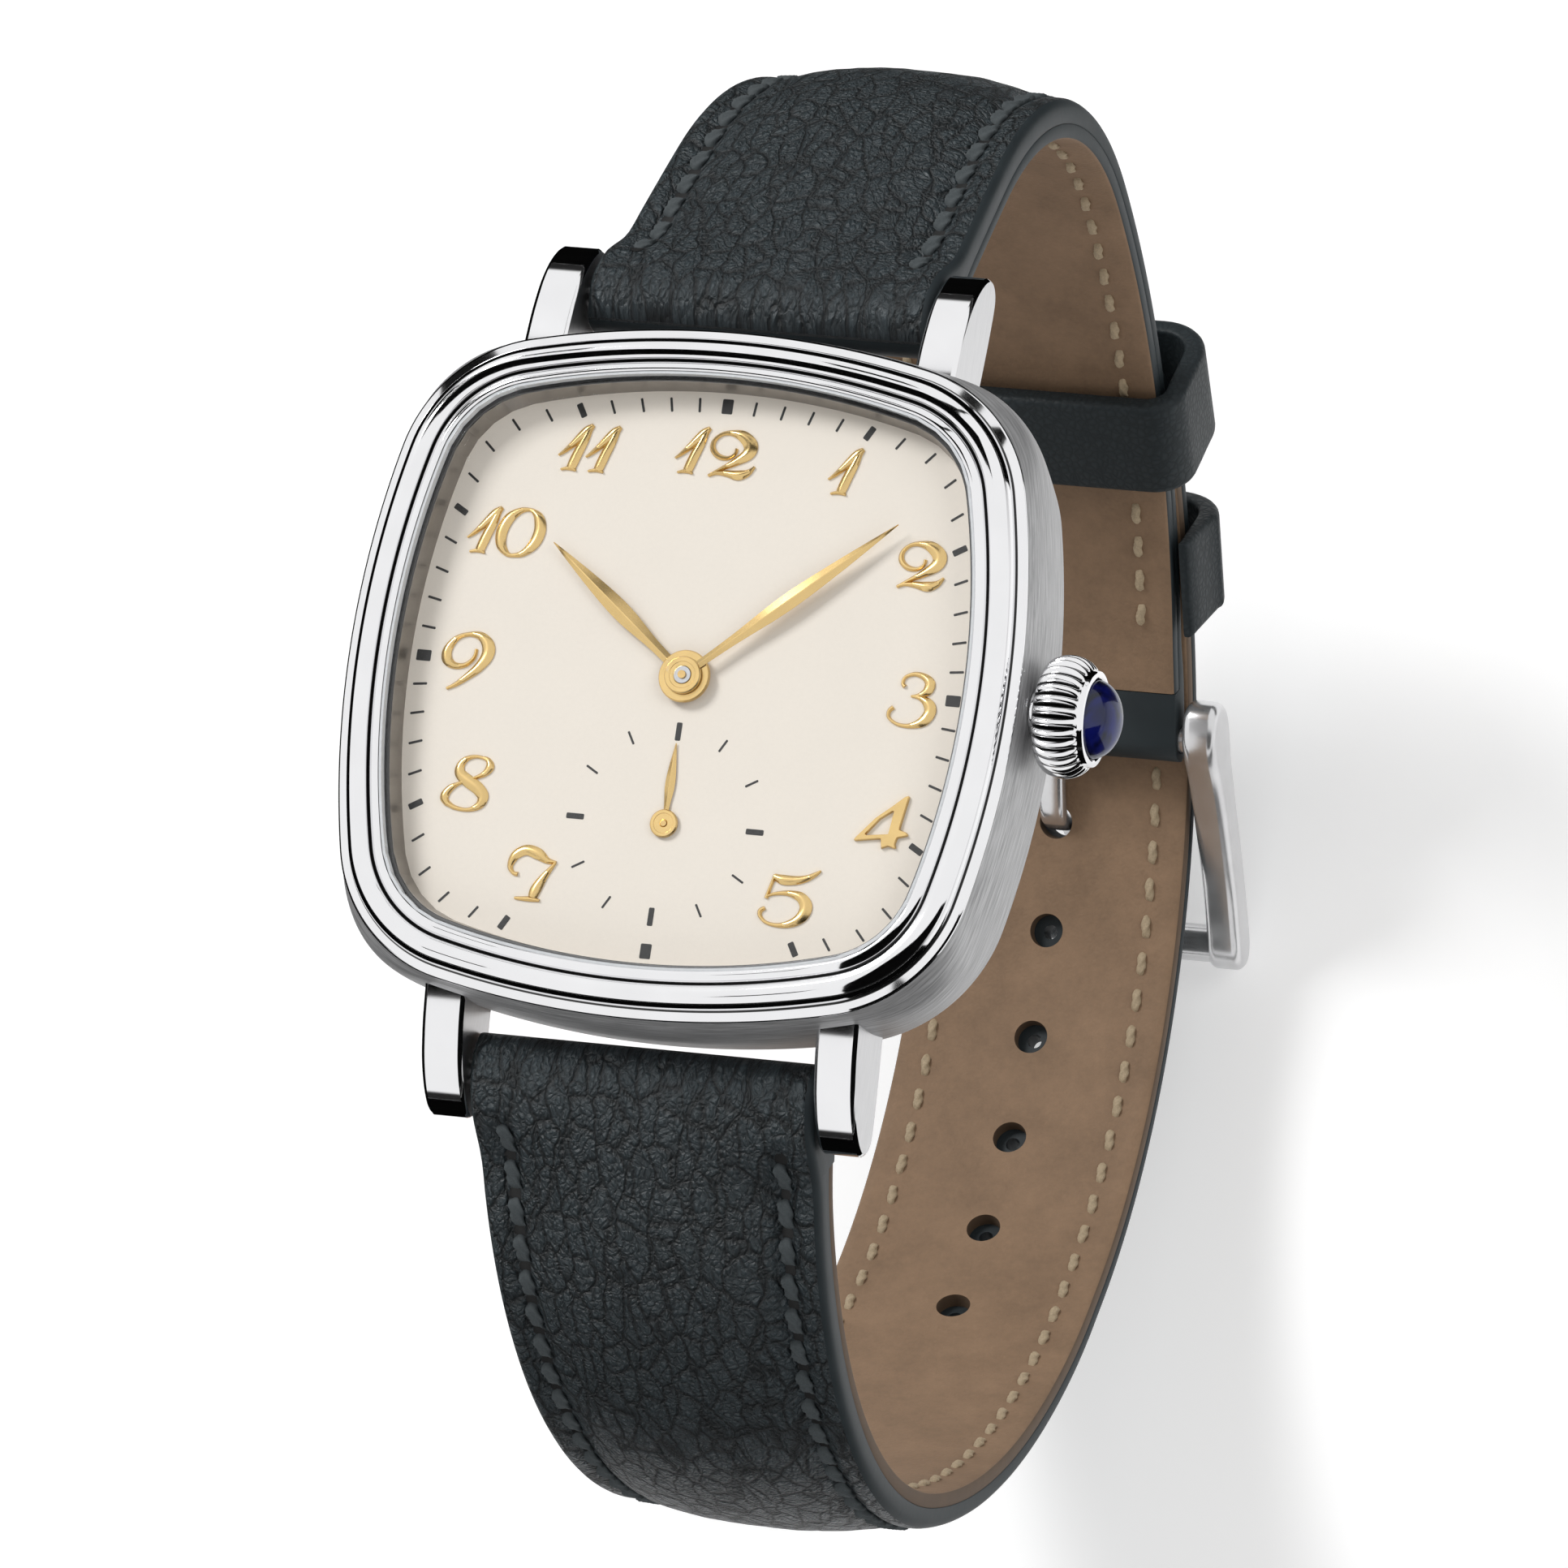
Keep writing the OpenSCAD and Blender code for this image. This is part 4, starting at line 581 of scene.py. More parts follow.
def slab(outline, a, b, place, edge, turns):
    """Rounded-edge plate: the outline is drawn at distances a to b, and place puts (u, v, w) in the part."""
    rows = []
    for k in range(turns + 1):
        q = math.pi / 2 * k / turns
        rows.append((a + edge * (1 - math.sin(q)), edge * (1 - math.cos(q))))
    rows = rows[::-1]
    far = [(b - (w - a), d) for w, d in rows[::-1]]
    return loft([[place(u, v, w) for u, v in inset(outline, d)] for w, d in rows + far])


def revolve(profile, place, turns, caps=False):
    """Profile of (radius, height) turned about an axis, closed or with caps; place puts (x, y, height)."""
    return loft([[place(radius * c, radius * s, height) for c, s in spokes(turns)] for radius, height in profile],
                tube=not caps)


# Outline of the case


def side_radius(half):
    return 36.3 + 3.01 * (half - 13.58)


def corner_radius(half):
    return 3.72 + 1.1165 * (half - 13.58)


def cushion_reach(half, side, corner, angle):
    """Distance from the hand axis to a cushion outline in a direction."""
    k = half - side
    gap = side - corner
    c = (2 * k + math.sqrt(4 * k * k - 8 * (k * k - gap * gap))) / 4
    m = max(abs(math.sin(angle)), abs(math.cos(angle)))
    n = min(abs(math.sin(angle)), abs(math.cos(angle)))
    r = m * k + math.sqrt(m * m * k * k - k * k + side * side)
    if math.atan2(n * r, m * r - k) > math.atan2(c, c - k):
        b = (m + n) * c
        return b + math.sqrt(max(0.0, b * b - 2 * c * c + corner * corner))
    return r


ROUND = 384


def cushion(half, z, corner=None):
    side = side_radius(half)
    corner = corner_radius(half) if corner is None else corner
    ring = []
    for i in range(ROUND):
        angle = 2 * math.pi * i / ROUND
        reach = cushion_reach(half, side, corner, angle)
        ring.append((reach * math.cos(angle), reach * math.sin(angle), z))
    return ring


def circle(radius, z):
    return [(radius * c, radius * s, z) for c, s in spokes(ROUND)]


def turned(centre, angle, u, v):
    """Point at (u, v) in axes turned about a centre."""
    ca, sa = math.cos(angle), math.sin(angle)
    return centre[0] + u * ca - v * sa, centre[1] + u * sa + v * ca


# Case, bezel and crystal


class WATCH_OT_case(bpy.types.Operator):
    """Middle of the case: brushed band and polished lugs"""

    bl_idname = "watch.case"
    bl_label = "Case middle"

    def execute(self, context):
        case = Sizes("case")
        half = case.band_half
        foot = case.bezel_half - 2.05
        seat = DIAL_TOP + SEAT
        opening, back = 14.4, 1
        rows = curve_through([
            (half - 0.2, 8, 1), (half - 0.1, 7, 2.2), (half, 6, 3.6), (half, 5.6, 5.2), (half - 0.1, 6.3, 6.2),
            (half - 0.28, 7.1, seat - 0.28),
        ], 5)
        rows += [(half - 0.33, 7.25, seat - 0.1), (half - 0.4, 7.4, seat)]
        rings = [cushion(h, z, c) for h, c, z in rows]
        rings += [cushion(foot, seat), cushion(foot, DIAL_TOP - 0.3), circle(opening, DIAL_TOP - 0.3),
                  circle(opening, back), cushion(half - 0.5, back, 8)]
        parts = [loft(rings, tube=True)]
        marks = [0] * len(parts[0][1])
        gap, width = case.lug_gap / 2, case.lug_width
        for side in (-1, 1):
            for x in (gap, -gap - width):
                parts.append(self.lug(side, x, width, case.lug_bevel))
                marks += [1 if len(face) > 4 else 2 for face in parts[-1][1]]
        build("case_middle", parts, ["brushed_steel", "lug_side_steel", "polished_steel"], replaces=("mid_case",),
              marks=marks, sharp=30, slot="brushed_steel")
        return {"FINISHED"}

    def lug(self, side, x, width, bevel):
        """Blade with an arched top, a round tip and a thin bevel along both edges."""
        profile = curve_through([
            (15.6, 5.9), (17.5, 5.5), (18.6, 5.15), (19.6, 4.72), (20.5, 4.12), (21.2, 3.45), (21.7, 2.75),
            (21.9, 2.1), (21.75, 1.5), (21.3, 1.05), (20.6, 0.9), (19.2, 1.02), (17.6, 1.25), (15.6, 1.6),
        ], 6)
        lift = DIAL_TOP - 6.2
        rows = ((0, bevel), (0.08, bevel * 0.45), (0.17, 0.02), (0.2, 0), (0.23, 0))
        rows += tuple((width - w, depth) for w, depth in rows[::-1])
        return loft([[(x + w, side * u, v + lift) for u, v in inset(profile, depth)] for w, depth in rows])


class WATCH_OT_bezel(bpy.types.Operator):
    """Polished bezel with its stepped rolls"""

    bl_idname = "watch.bezel"
    bl_label = "Bezel"

    def execute(self, context):
        half = Sizes("case").bezel_half
        # Runs of (inwards from the flat side, over the crest), each sharp against the next
        profile = chain(
            [(0.35, -1.15), (0.02, -1.12), (0, -1.03), (0.1, -0.93)],
            [(0.1, -0.93), (0.5, -0.91)],
            [(0.5, -0.91), (0.52, -0.65), (0.6, -0.4), (0.78, -0.16), (0.97, -0.04), (1.15, 0), (1.3, -0.013),
             (1.43, -0.042), (1.55, -0.09), (1.65, -0.2), (1.7, -0.36)],
            [(1.7, -0.36), (1.82, -0.2), (1.95, -0.08), (2.1, -0.01), (2.2, -0.01), (2.29, -0.05)],
            [(2.29, -0.05), (2.29, -0.6)],
            [(2.29, -0.6), (2.65, -0.6), (2.65, -0.72)],
            [(2.65, -0.72), (2.3, -1.05), (2.3, -1.15)],
        )
        band = loft([cushion(half - inward, DIAL_TOP + CREST + rise) for inward, rise in profile], tube=True)
        marks = []
        # Faces down in the grooves take a dark steel: painted shade in the bezel's grooves
        for inward, rise in profile:
            shaded_groove = 0.36 < inward < 0.53 and rise < -0.75 or 1.66 < inward < 1.78 or inward > 2.28 and rise > -0.62
            marks += [1 if shaded_groove else 0] * ROUND
        build("bezel_rolls", [band], ["polished_steel", "bezel_grooves"], replaces=("bezel",), marks=marks, sharp=32,
              slot="polished_steel")
        return {"FINISHED"}


class WATCH_OT_crystal(bpy.types.Operator):
    """Domed crystal"""

    bl_idname = "watch.crystal"
    bl_label = "Crystal"

    def execute(self, context):
        half = Sizes("case").bezel_half - 2.45
        low = DIAL_TOP + 1.42
        crest = DIAL_TOP + CREST
        rows = curve_through([(1, low + 0.6), (0.97, crest + 0.12), (0.93, crest + 0.28), (0.82, crest + 0.48),
                              (0.56, crest + 0.7), (0.28, crest + 0.79), (0.02, crest + 0.8)], 6)
        rings = [cushion(half, low)]
        for k, z in rows:
            corner = max(0.05, corner_radius(half) * k)
            rings.append(cushion(half * k, z, corner) if k > 0.9 else scaled_cushion(half, k, z))
        under = [scaled_cushion(half, k, z) for k, z in curve_through(
            [(0.02, crest + 0.02), (0.3, crest), (0.5, crest - 0.12), (0.8, low + 0.02), (0.93, low)], 5)]
        build("crystal_dome", [loft(rings + under, tube=True)], ["crystal_clear"], replaces=("crystal",), sharp=30,
              slot="sapphire")
        return {"FINISHED"}


def scaled_cushion(half, share, z):
    return [(x * share, y * share, z) for x, y, _ in cushion(half, z)]


# Crown


def on_crown(x, y, height):
    return (CROWN_X + height, x, STEM_Z + y)


class WATCH_OT_crown(bpy.types.Operator):
    """Fluted crown and the stone set in it"""

    bl_idname = "watch.crown"
    bl_label = "Crown"

    def execute(self, context):
        case = Sizes("case")
        reach = case.crown_radius
        size = case.crown_length
        ribs = settings("case").crown_ribs
        count = ribs * 14

        def ribbed(radius, depth, height):
            ring = []
            for k, (c, s) in enumerate(spokes(count)):
                r = radius - depth * (1 - abs(math.cos(ribs * math.pi * k / count)) ** 0.8)
                ring.append(on_crown(r * c, r * s, height))
            return ring

        rows = [(2.2, 0, 0)] + [
            (r * reach / 3, depth, h * size / 2.3) for r, depth, h in curve_through([
                (2.3, 0.04, 0), (2.52, 0.2, 0.08), (2.76, 0.36, 0.3), (2.93, 0.44, 0.65), (3, 0.46, 1.1),
                (2.95, 0.44, 1.5), (2.82, 0.38, 1.85), (2.6, 0.24, 2.14), (2.44, 0.06, 2.28)], 4)
        ] + [(2.38, 0, size + 0.02), (2.36, 0, size + 0.05), (2.36, 0, size + 0.17), (2.32, 0, size + 0.26),
             (2.24, 0, size + 0.3), (2.06, 0, size + 0.3), (1.99, 0, size + 0.24), (1.98, 0, size - 0.24),
             (0.42, 0, size - 0.25), (0.42, 0, 0.9), (1.4, 0, 0.9), (1.4, 0, 0)]
        body = loft([ribbed(*row) for row in rows], tube=True)
        marks = []
        # Faces in the flutes' valleys take a dark steel: painted shade in the crown's grooves
        for i in range(len(body[1])):
            row, column = divmod(i, count)
            shaded_flute = abs(math.cos(ribs * math.pi * (column + 0.5) / count)) < 0.4
            marks.append(1 if shaded_flute and 3 < row < 30 else 0)
        build("crown_fluted", [body], ["polished_steel", "crown_grooves"], body="crown", replaces=("crown",),
              marks=marks, sharp=38, slot="polished_steel")
        r = case.cabochon_radius
        base, girdle = size - 0.24, 0.36
        rows = [(0.98, 0), (1, 0.05), (1, girdle)]
        rows += [(math.cos(math.radians(a)), girdle + 0.72 * r * math.sin(math.radians(a))) for a in range(5, 90, 5)]
        rows += [(0.01, girdle + 0.72 * r)]
        rings = [[on_crown(q * r * c, q * r * s, base + h) for c, s in spokes(96)] for q, h in rows]
        build("crown_stone", [loft(rings)], ["stone_blue"], body="crown", replaces=("crown_cabochon",), sharp=60,
              slot="blue_stone")
        return {"FINISHED"}


# Dial


class WATCH_OT_marks(bpy.types.Operator):
    """Minute marks and the small seconds marks, printed on the dial"""

    bl_idname = "watch.marks"
    bl_label = "Dial print"

    def execute(self, context):
        dial = Sizes("dial")
        ring = dial.ring_half
        parts = []
        for minute in range(60):
            if 26 <= minute <= 34 and minute != 30:
                continue  # the small seconds stand here
            angle = math.radians(90 - 6 * minute)
            reach = cushion_reach(ring, side_radius(ring), corner_radius(ring), angle)
            size, width = dial.mark_length, dial.mark_width
            if minute % 15 == 0:
                size, width = 0.74, 0.55
            elif minute % 5 == 0:
                size, width = 0.75, 0.31
            parts.append(self.mark((0, 0), angle, reach, size, width))
        centre = (0, -dial.seconds_drop)
        for five in range(12):
            reach, size, width = (4.72, 0.71, 0.11) if five % 3 else (4.6, 0.9, 0.28)
            parts.append(self.mark(centre, math.radians(30 * five), reach, size, width))
        build("dial_print", parts, ["ink"], sharp=30, slot="dial_cream")
        return {"FINISHED"}

    def mark(self, centre, angle, reach, size, width):
        """Bar of ink across a radius, with its corners eased."""
        thick = Sizes("dial").print_height
        ease = min(0.04, width / 4)
        a, b, h = reach - size / 2, reach + size / 2, width / 2
        outline = [(a + ease, -h), (b - ease, -h), (b, -h + ease), (b, h - ease), (b - ease, h), (a + ease, h),
                   (a, h - ease), (a, -h + ease)]
        return loft([[(*turned(centre, angle, u, v), DIAL_TOP + z) for u, v in outline] for z in (-0.01, thick)])


# Strokes of each figure as (right, down, width), and the plate of the 4 with its hole
FIGURE_HEIGHT, FIGURE_MIDDLE = 190, 150
FIGURES = {
    "1": [[(84, 174, 7), (104, 158, 14), (132, 130, 22), (160, 98, 30), (184, 70, 30), (203, 50, 14)],
         [(192, 62, 20), (176, 112, 30), (158, 160, 34), (143, 206, 34), (138, 222, 30)],
         [(101, 227, 8), (120, 222, 12), (140, 220, 16), (160, 228, 8)]],
    "2": [[(157, 130, 12), (152, 152, 12), (126, 168, 15), (90, 163, 20), (65, 138, 20), (66, 106, 16), (92, 80, 14),
          (130, 72, 20), (175, 82, 40), (208, 112, 50), (204, 146, 44), (158, 182, 26), (105, 212, 14), (62, 240, 10)],
         [(64, 238, 12), (92, 227, 14), (132, 226, 22), (178, 230, 34), (212, 218, 24), (230, 200, 12), (236, 192, 8)]],
    "3": [[(119, 104, 16), (108, 92, 12), (116, 68, 12), (150, 54, 15), (188, 62, 24), (212, 84, 36), (208, 112, 34),
          (180, 132, 18), (148, 138, 8)],
         [(148, 137, 8), (184, 142, 18), (218, 162, 38), (228, 192, 42), (206, 228, 36), (160, 248, 18),
          (110, 246, 12), (74, 224, 12), (72, 200, 15), (86, 184, 16)]],
    "5": [[(94, 74, 20), (130, 84, 34), (180, 82, 30), (222, 70, 22), (254, 50, 14), (269, 38, 6)],
         [(98, 68, 14), (86, 110, 12), (75, 158, 14)],
         [(76, 150, 8), (110, 137, 12), (160, 132, 20), (208, 144, 36), (232, 176, 44), (222, 214, 40),
          (186, 242, 28), (138, 254, 16), (90, 248, 12), (62, 226, 14), (60, 206, 17), (76, 194, 14)]],
    "7": [[(98, 161, 16), (78, 156, 14), (64, 132, 20), (78, 92, 32), (118, 68, 36), (165, 78, 40), (205, 100, 22),
          (240, 104, 10)],
         [(238, 105, 8), (221, 130, 16), (202, 160, 25), (186, 190, 34), (174, 218, 38), (168, 244, 30)],
         [(100, 250, 10), (128, 250, 15), (162, 249, 18), (197, 252, 10)]],
    "8": [[(206, 54, 12), (170, 48, 12), (134, 58, 18), (112, 84, 28), (114, 116, 38), (148, 142, 44), (190, 166, 44),
          (216, 196, 40), (206, 230, 28), (165, 250, 14), (112, 246, 16), (76, 228, 22)],
         [(84, 238, 18), (66, 210, 30), (84, 176, 24), (120, 152, 12), (165, 132, 10), (206, 112, 20), (226, 84, 30),
          (216, 60, 20), (196, 50, 12)]],
    "9": [[(172, 108, 12), (166, 142, 14), (136, 171, 17), (96, 176, 24), (64, 156, 36), (60, 118, 32), (88, 74, 20),
          (134, 54, 16), (182, 58, 30), (214, 88, 44), (218, 128, 44), (192, 174, 34), (150, 215, 24), (112, 246, 16),
          (78, 265, 10)]],
    "0": [[(232, 57, 10), (190, 62, 20), (148, 94, 36), (125, 148, 40), (130, 200, 34), (160, 232, 18), (188, 235, 12)],
         [(172, 236, 12), (216, 226, 22), (256, 186, 38), (272, 135, 42), (262, 88, 36), (236, 63, 18), (216, 57, 10)]],
}
FOUR = [(214, 38), (222, 36), (228, 42), (207, 172), (230, 170), (242, 178), (240, 188), (204, 198), (198, 226),
        (205, 234), (198, 238), (172, 232), (146, 242), (142, 236), (155, 225), (162, 203), (42, 222), (36, 216),
        (110, 128), (165, 82)]
FOUR_HOLE = [(176, 98), (128, 134), (80, 196), (166, 185)]
HOURS = [
    (-0.15, 11.3, [("1", -95, 12), ("2", 65, 3)]), (6.53, 10.7, [("1", 0, 0)]), (11.08, 6.55, [("2", 0, 0)]),
    (11.49, -0.1, [("3", 0, 0)]), (11.13, -6.32, [("4", 0, 0)]), (6.67, -10.34, [("5", 0, 0)]),
    (-6.37, -10.25, [("7", 0, 0)]), (-10.3, -6.13, [("8", 0, 0)]), (-11.2, -0.04, [("9", 0, 0)]),
    (-10.21, 6.44, [("1", -90, 7), ("0", 0, 0)]), (-6.53, 10.88, [("1", -64, 5), ("1", 43, 4)]),
]


class WATCH_OT_numerals(bpy.types.Operator):
    """Raised gold hour numerals with faceted edges"""

    bl_idname = "watch.numerals"
    bl_label = "Numerals"

    def execute(self, context):
        unit = Sizes("dial").numeral_height / FIGURE_HEIGHT
        relief = Sizes("dial").numeral_relief
        parts = []
        for x, y, figures in HOURS:
            for name, dx, dy in figures:
                def place(u, v, w, x=x, y=y, dx=dx - FIGURE_MIDDLE, dy=dy - FIGURE_MIDDLE):
                    return (x + (u + dx) * unit, y - (v + dy) * unit, DIAL_TOP + w)

                if name == "4":
                    parts.append(self.ring(FOUR, FOUR_HOLE, place, relief))
                else:
                    parts += [self.stroke(spine, place, relief) for spine in FIGURES[name]]
        build("numerals", parts, ["gold"], replaces=("hour_numerals",), sharp=48, slot="gold")
        return {"FINISHED"}

    def stroke(self, spine, place, relief):
        """Swelling stroke with a flat top and sloping facets."""
        line = curve_through(spine, 7)
        rings = []
        for (u, v, width), (nu, nv) in zip(line, normals(line)):
            half = width * 0.54
            top = half * 0.34
            rise = relief * min(1.0, 0.55 + half / 40)
            section = [(-half, -0.02), (-half, rise * 0.35), (-top, rise)]
            section += [(-a, w) for a, w in section[::-1]]
            rings.append([place(u + nu * a, v + nv * a, w) for a, w in section])
        return loft(rings)

    def ring(self, outer, inner, place, relief):
        """Plate with a hole: matching rings run over the outer wall and down the inner one."""
        middle = (sum(p[0] for p in inner) / len(inner), sum(p[1] for p in inner) / len(inner))
        steps, count = 8, 120
        outer, inner = (by_angle(dense(line, steps), middle, count) for line in (outer, inner))
        rows = ((outer, 0, -0.02), (outer, 0, relief * 0.4), (outer, 3.5, relief), (inner, -3, relief),
                (inner, 0, relief * 0.4), (inner, 0, -0.02))
        return loft([[place(u, v, w) for u, v in inset(line, depth)] for line, depth, w in rows], tube=True)


def dense(outline, steps):
    """Closed outline with extra points on its straight edges."""
    return [(u + (a - u) * k / steps, v + (b - v) * k / steps)
            for (u, v), (a, b) in zip(outline, outline[1:] + outline[:1]) for k in range(steps)]


def by_angle(outline, middle, count):
    """Points of a closed outline in equal steps of angle about a point inside it, at their farthest crossing."""
    out = []
    for du, dv in spokes(count):
        best = 0
        for (au, av), (bu, bv) in zip(outline, outline[1:] + outline[:1]):
            eu, ev = bu - au, bv - av
            det = du * ev - dv * eu
            if abs(det) < 1e-9:
                continue
            t = ((au - middle[0]) * ev - (av - middle[1]) * eu) / det
            s = ((au - middle[0]) * dv - (av - middle[1]) * du) / det
            if -1e-6 <= s <= 1 + 1e-6:
                best = max(best, t)
        out.append((middle[0] + du * best, middle[1] + dv * best))
    return out


# Hands


class WATCH_OT_hands(bpy.types.Operator):
    """Leaf-shaped gold hands with a ridge along each blade"""

    bl_idname = "watch.hands"
    bl_label = "Hands"

    def execute(self, context):
        dial = Sizes("dial")
        wide = dial.leaf_width
        for row in (
            ("hour_hand", "hour", (0, 0), 51.7, dial.hour_length, 1.1 * wide, 0.5, 1.3, 0.76, 0.32, 0.15),
            ("minute_hand", "minute", (0, 0), -49.5, dial.minute_length, wide, 0.4, 0.93, 0.43, 0.6, 0.13),
            ("seconds_hand", "seconds", (0, -dial.seconds_drop), 0, dial.seconds_length, 0.5, 0.22, 0.7, 0.16,
             0.08, 0.11),
        ):
            self.hand(*row)
        return {"FINISHED"}

    def hand(self, node, body, centre, turn, reach, width, neck, hub, bore, low, thick):
        """Ridged blade on a turned hub, at a height over the dial."""
        def place(u, v, w):
            return (*turned(centre, math.radians(turn), u, v), DIAL_TOP + low + w)

        rows = curve_through([
            (0, neck), (0.1, neck), (0.25, 0.62 * width), (0.42, 0.95 * width), (0.55, 0.98 * width),
            (0.72, 0.72 * width), (0.88, 0.36 * width), (1, 0.05),
        ], 8)
        rings = []
        for f, w in rows:
            if f * reach < bore + 0.06:
                continue
            ridge = thick * (0.55 + 0.75 * min(1, w / width * 1.2))
            section = [(-w / 2, 0), (-w / 2, thick * 0.18), (-w * 0.03, ridge)]
            section += [(-x, z) for x, z in section[::-1]]
            rings.append([place(x, f * reach, z) for x, z in section])
        t = thick + 0.06
        disc = revolve([(bore, 0), (hub, 0), (hub, t * 0.6), (hub - 0.06, t), (hub * 0.72, t), (hub * 0.7, t - 0.02),
                        (bore + 0.05, t - 0.02), (bore, t - 0.05)], place, 72)
        build("leaf_" + node, [loft(rings), disc], ["gold"], body=body, replaces=(node,), sharp=18, slot="gold")


# Strap: two paths of arcs in degrees and millimetres, with each place as the complex number of out + up times i


def forward(heading):
    return cmath.rect(1, -math.radians(heading))


def across(heading):
    return cmath.rect(1, math.radians(90 - heading))


class Path:
    """Run of arcs that starts at the spring bar; side is 1 towards 12 o'clock and -1 towards 6."""

    def __init__(self, arcs, heading, side):
        strap = Sizes("strap")
        self.start = complex(strap.bar_y, strap.bar_z)
        self.arcs = arcs
        self.heading = heading
        self.side = side

    def at(self, s):
        """Place and heading at a distance along the run, which goes straight on before its start."""
        place, heading = self.start, self.heading
        if s < 0:
            return place + s * forward(heading), heading
        for index, (size, turn) in enumerate(self.arcs):
            radius = size / math.radians(turn)
            centre = place - radius * across(heading)
            if s <= size or index == len(self.arcs) - 1:
                heading += turn * s / size
                return centre + radius * across(heading), heading
            heading += turn
            place = centre + radius * across(heading)
            s -= size

    def point(self, s, x, rise, along=0):
        """Point of the part off the run at a distance: across the strap, out of it and straight along it."""
        place, heading = self.at(s)
        place += along * forward(heading) + rise * across(heading)
        return x, self.side * place.real, place.imag


SHORT_ARCS = [(12, 3), (24, 71), (36, 38)]
SHORT_HEADING, LONG_HEADING = 38, 25
LONG_FIRST = (36, 75)
LONG_RADIUS = 44  # of the long side's second arc
PASSING_TURN = 2.459  # from where the last arc begins back to the buckle's pin


def short_path():
    return Path(SHORT_ARCS, SHORT_HEADING, 1)


def long_shape():
    """Arcs of the long side, which bends round to lie on the short side, and where it passes the pin."""
    strap = Sizes("strap")
    short = short_path()
    pin, heading = short.at(strap.short_length)
    size, bend = SHORT_ARCS[-1]
    last = size / math.radians(bend)
    outer_r = last + strap.thin + 0.3
    outer_c = pin - last * across(heading)
    outer_c = complex(-outer_c.real, outer_c.imag)
    size, bend = LONG_FIRST
    first = size / math.radians(bend)
    bent = LONG_HEADING + bend
    c2 = short.start - first * across(LONG_HEADING) + (first - LONG_RADIUS) * across(bent)
    join = 360 - heading + PASSING_TURN
    n = across(join)
    d = outer_c - c2 + outer_r * n
    r3 = (abs(d) ** 2 - LONG_RADIUS**2) / (2 * (d.real * n.real + d.imag * n.imag - LONG_RADIUS))
    c3 = outer_c + (outer_r - r3) * n
    turn = math.degrees(math.atan2((c3 - c2).real, (c3 - c2).imag)) % 360
    arcs = [LONG_FIRST, (LONG_RADIUS * math.radians(turn - bent), turn - bent),
            (r3 * math.radians(join - turn), join - turn), (outer_r * math.radians(60), 60)]
    return arcs, sum(size for size, _ in arcs[:3]) - outer_r * math.radians(PASSING_TURN)


FOLD_STEPS = (0.17, 0.34, 0.5, 0.64, 0.77, 0.87, 0.94, 0.985, 0.999)
TIP_STEPS = (8, 7, 6, 5, 4.2, 3.4, 2.7, 2, 1.5, 1, 0.7, 0.4, 0.2, 0.08, 0)


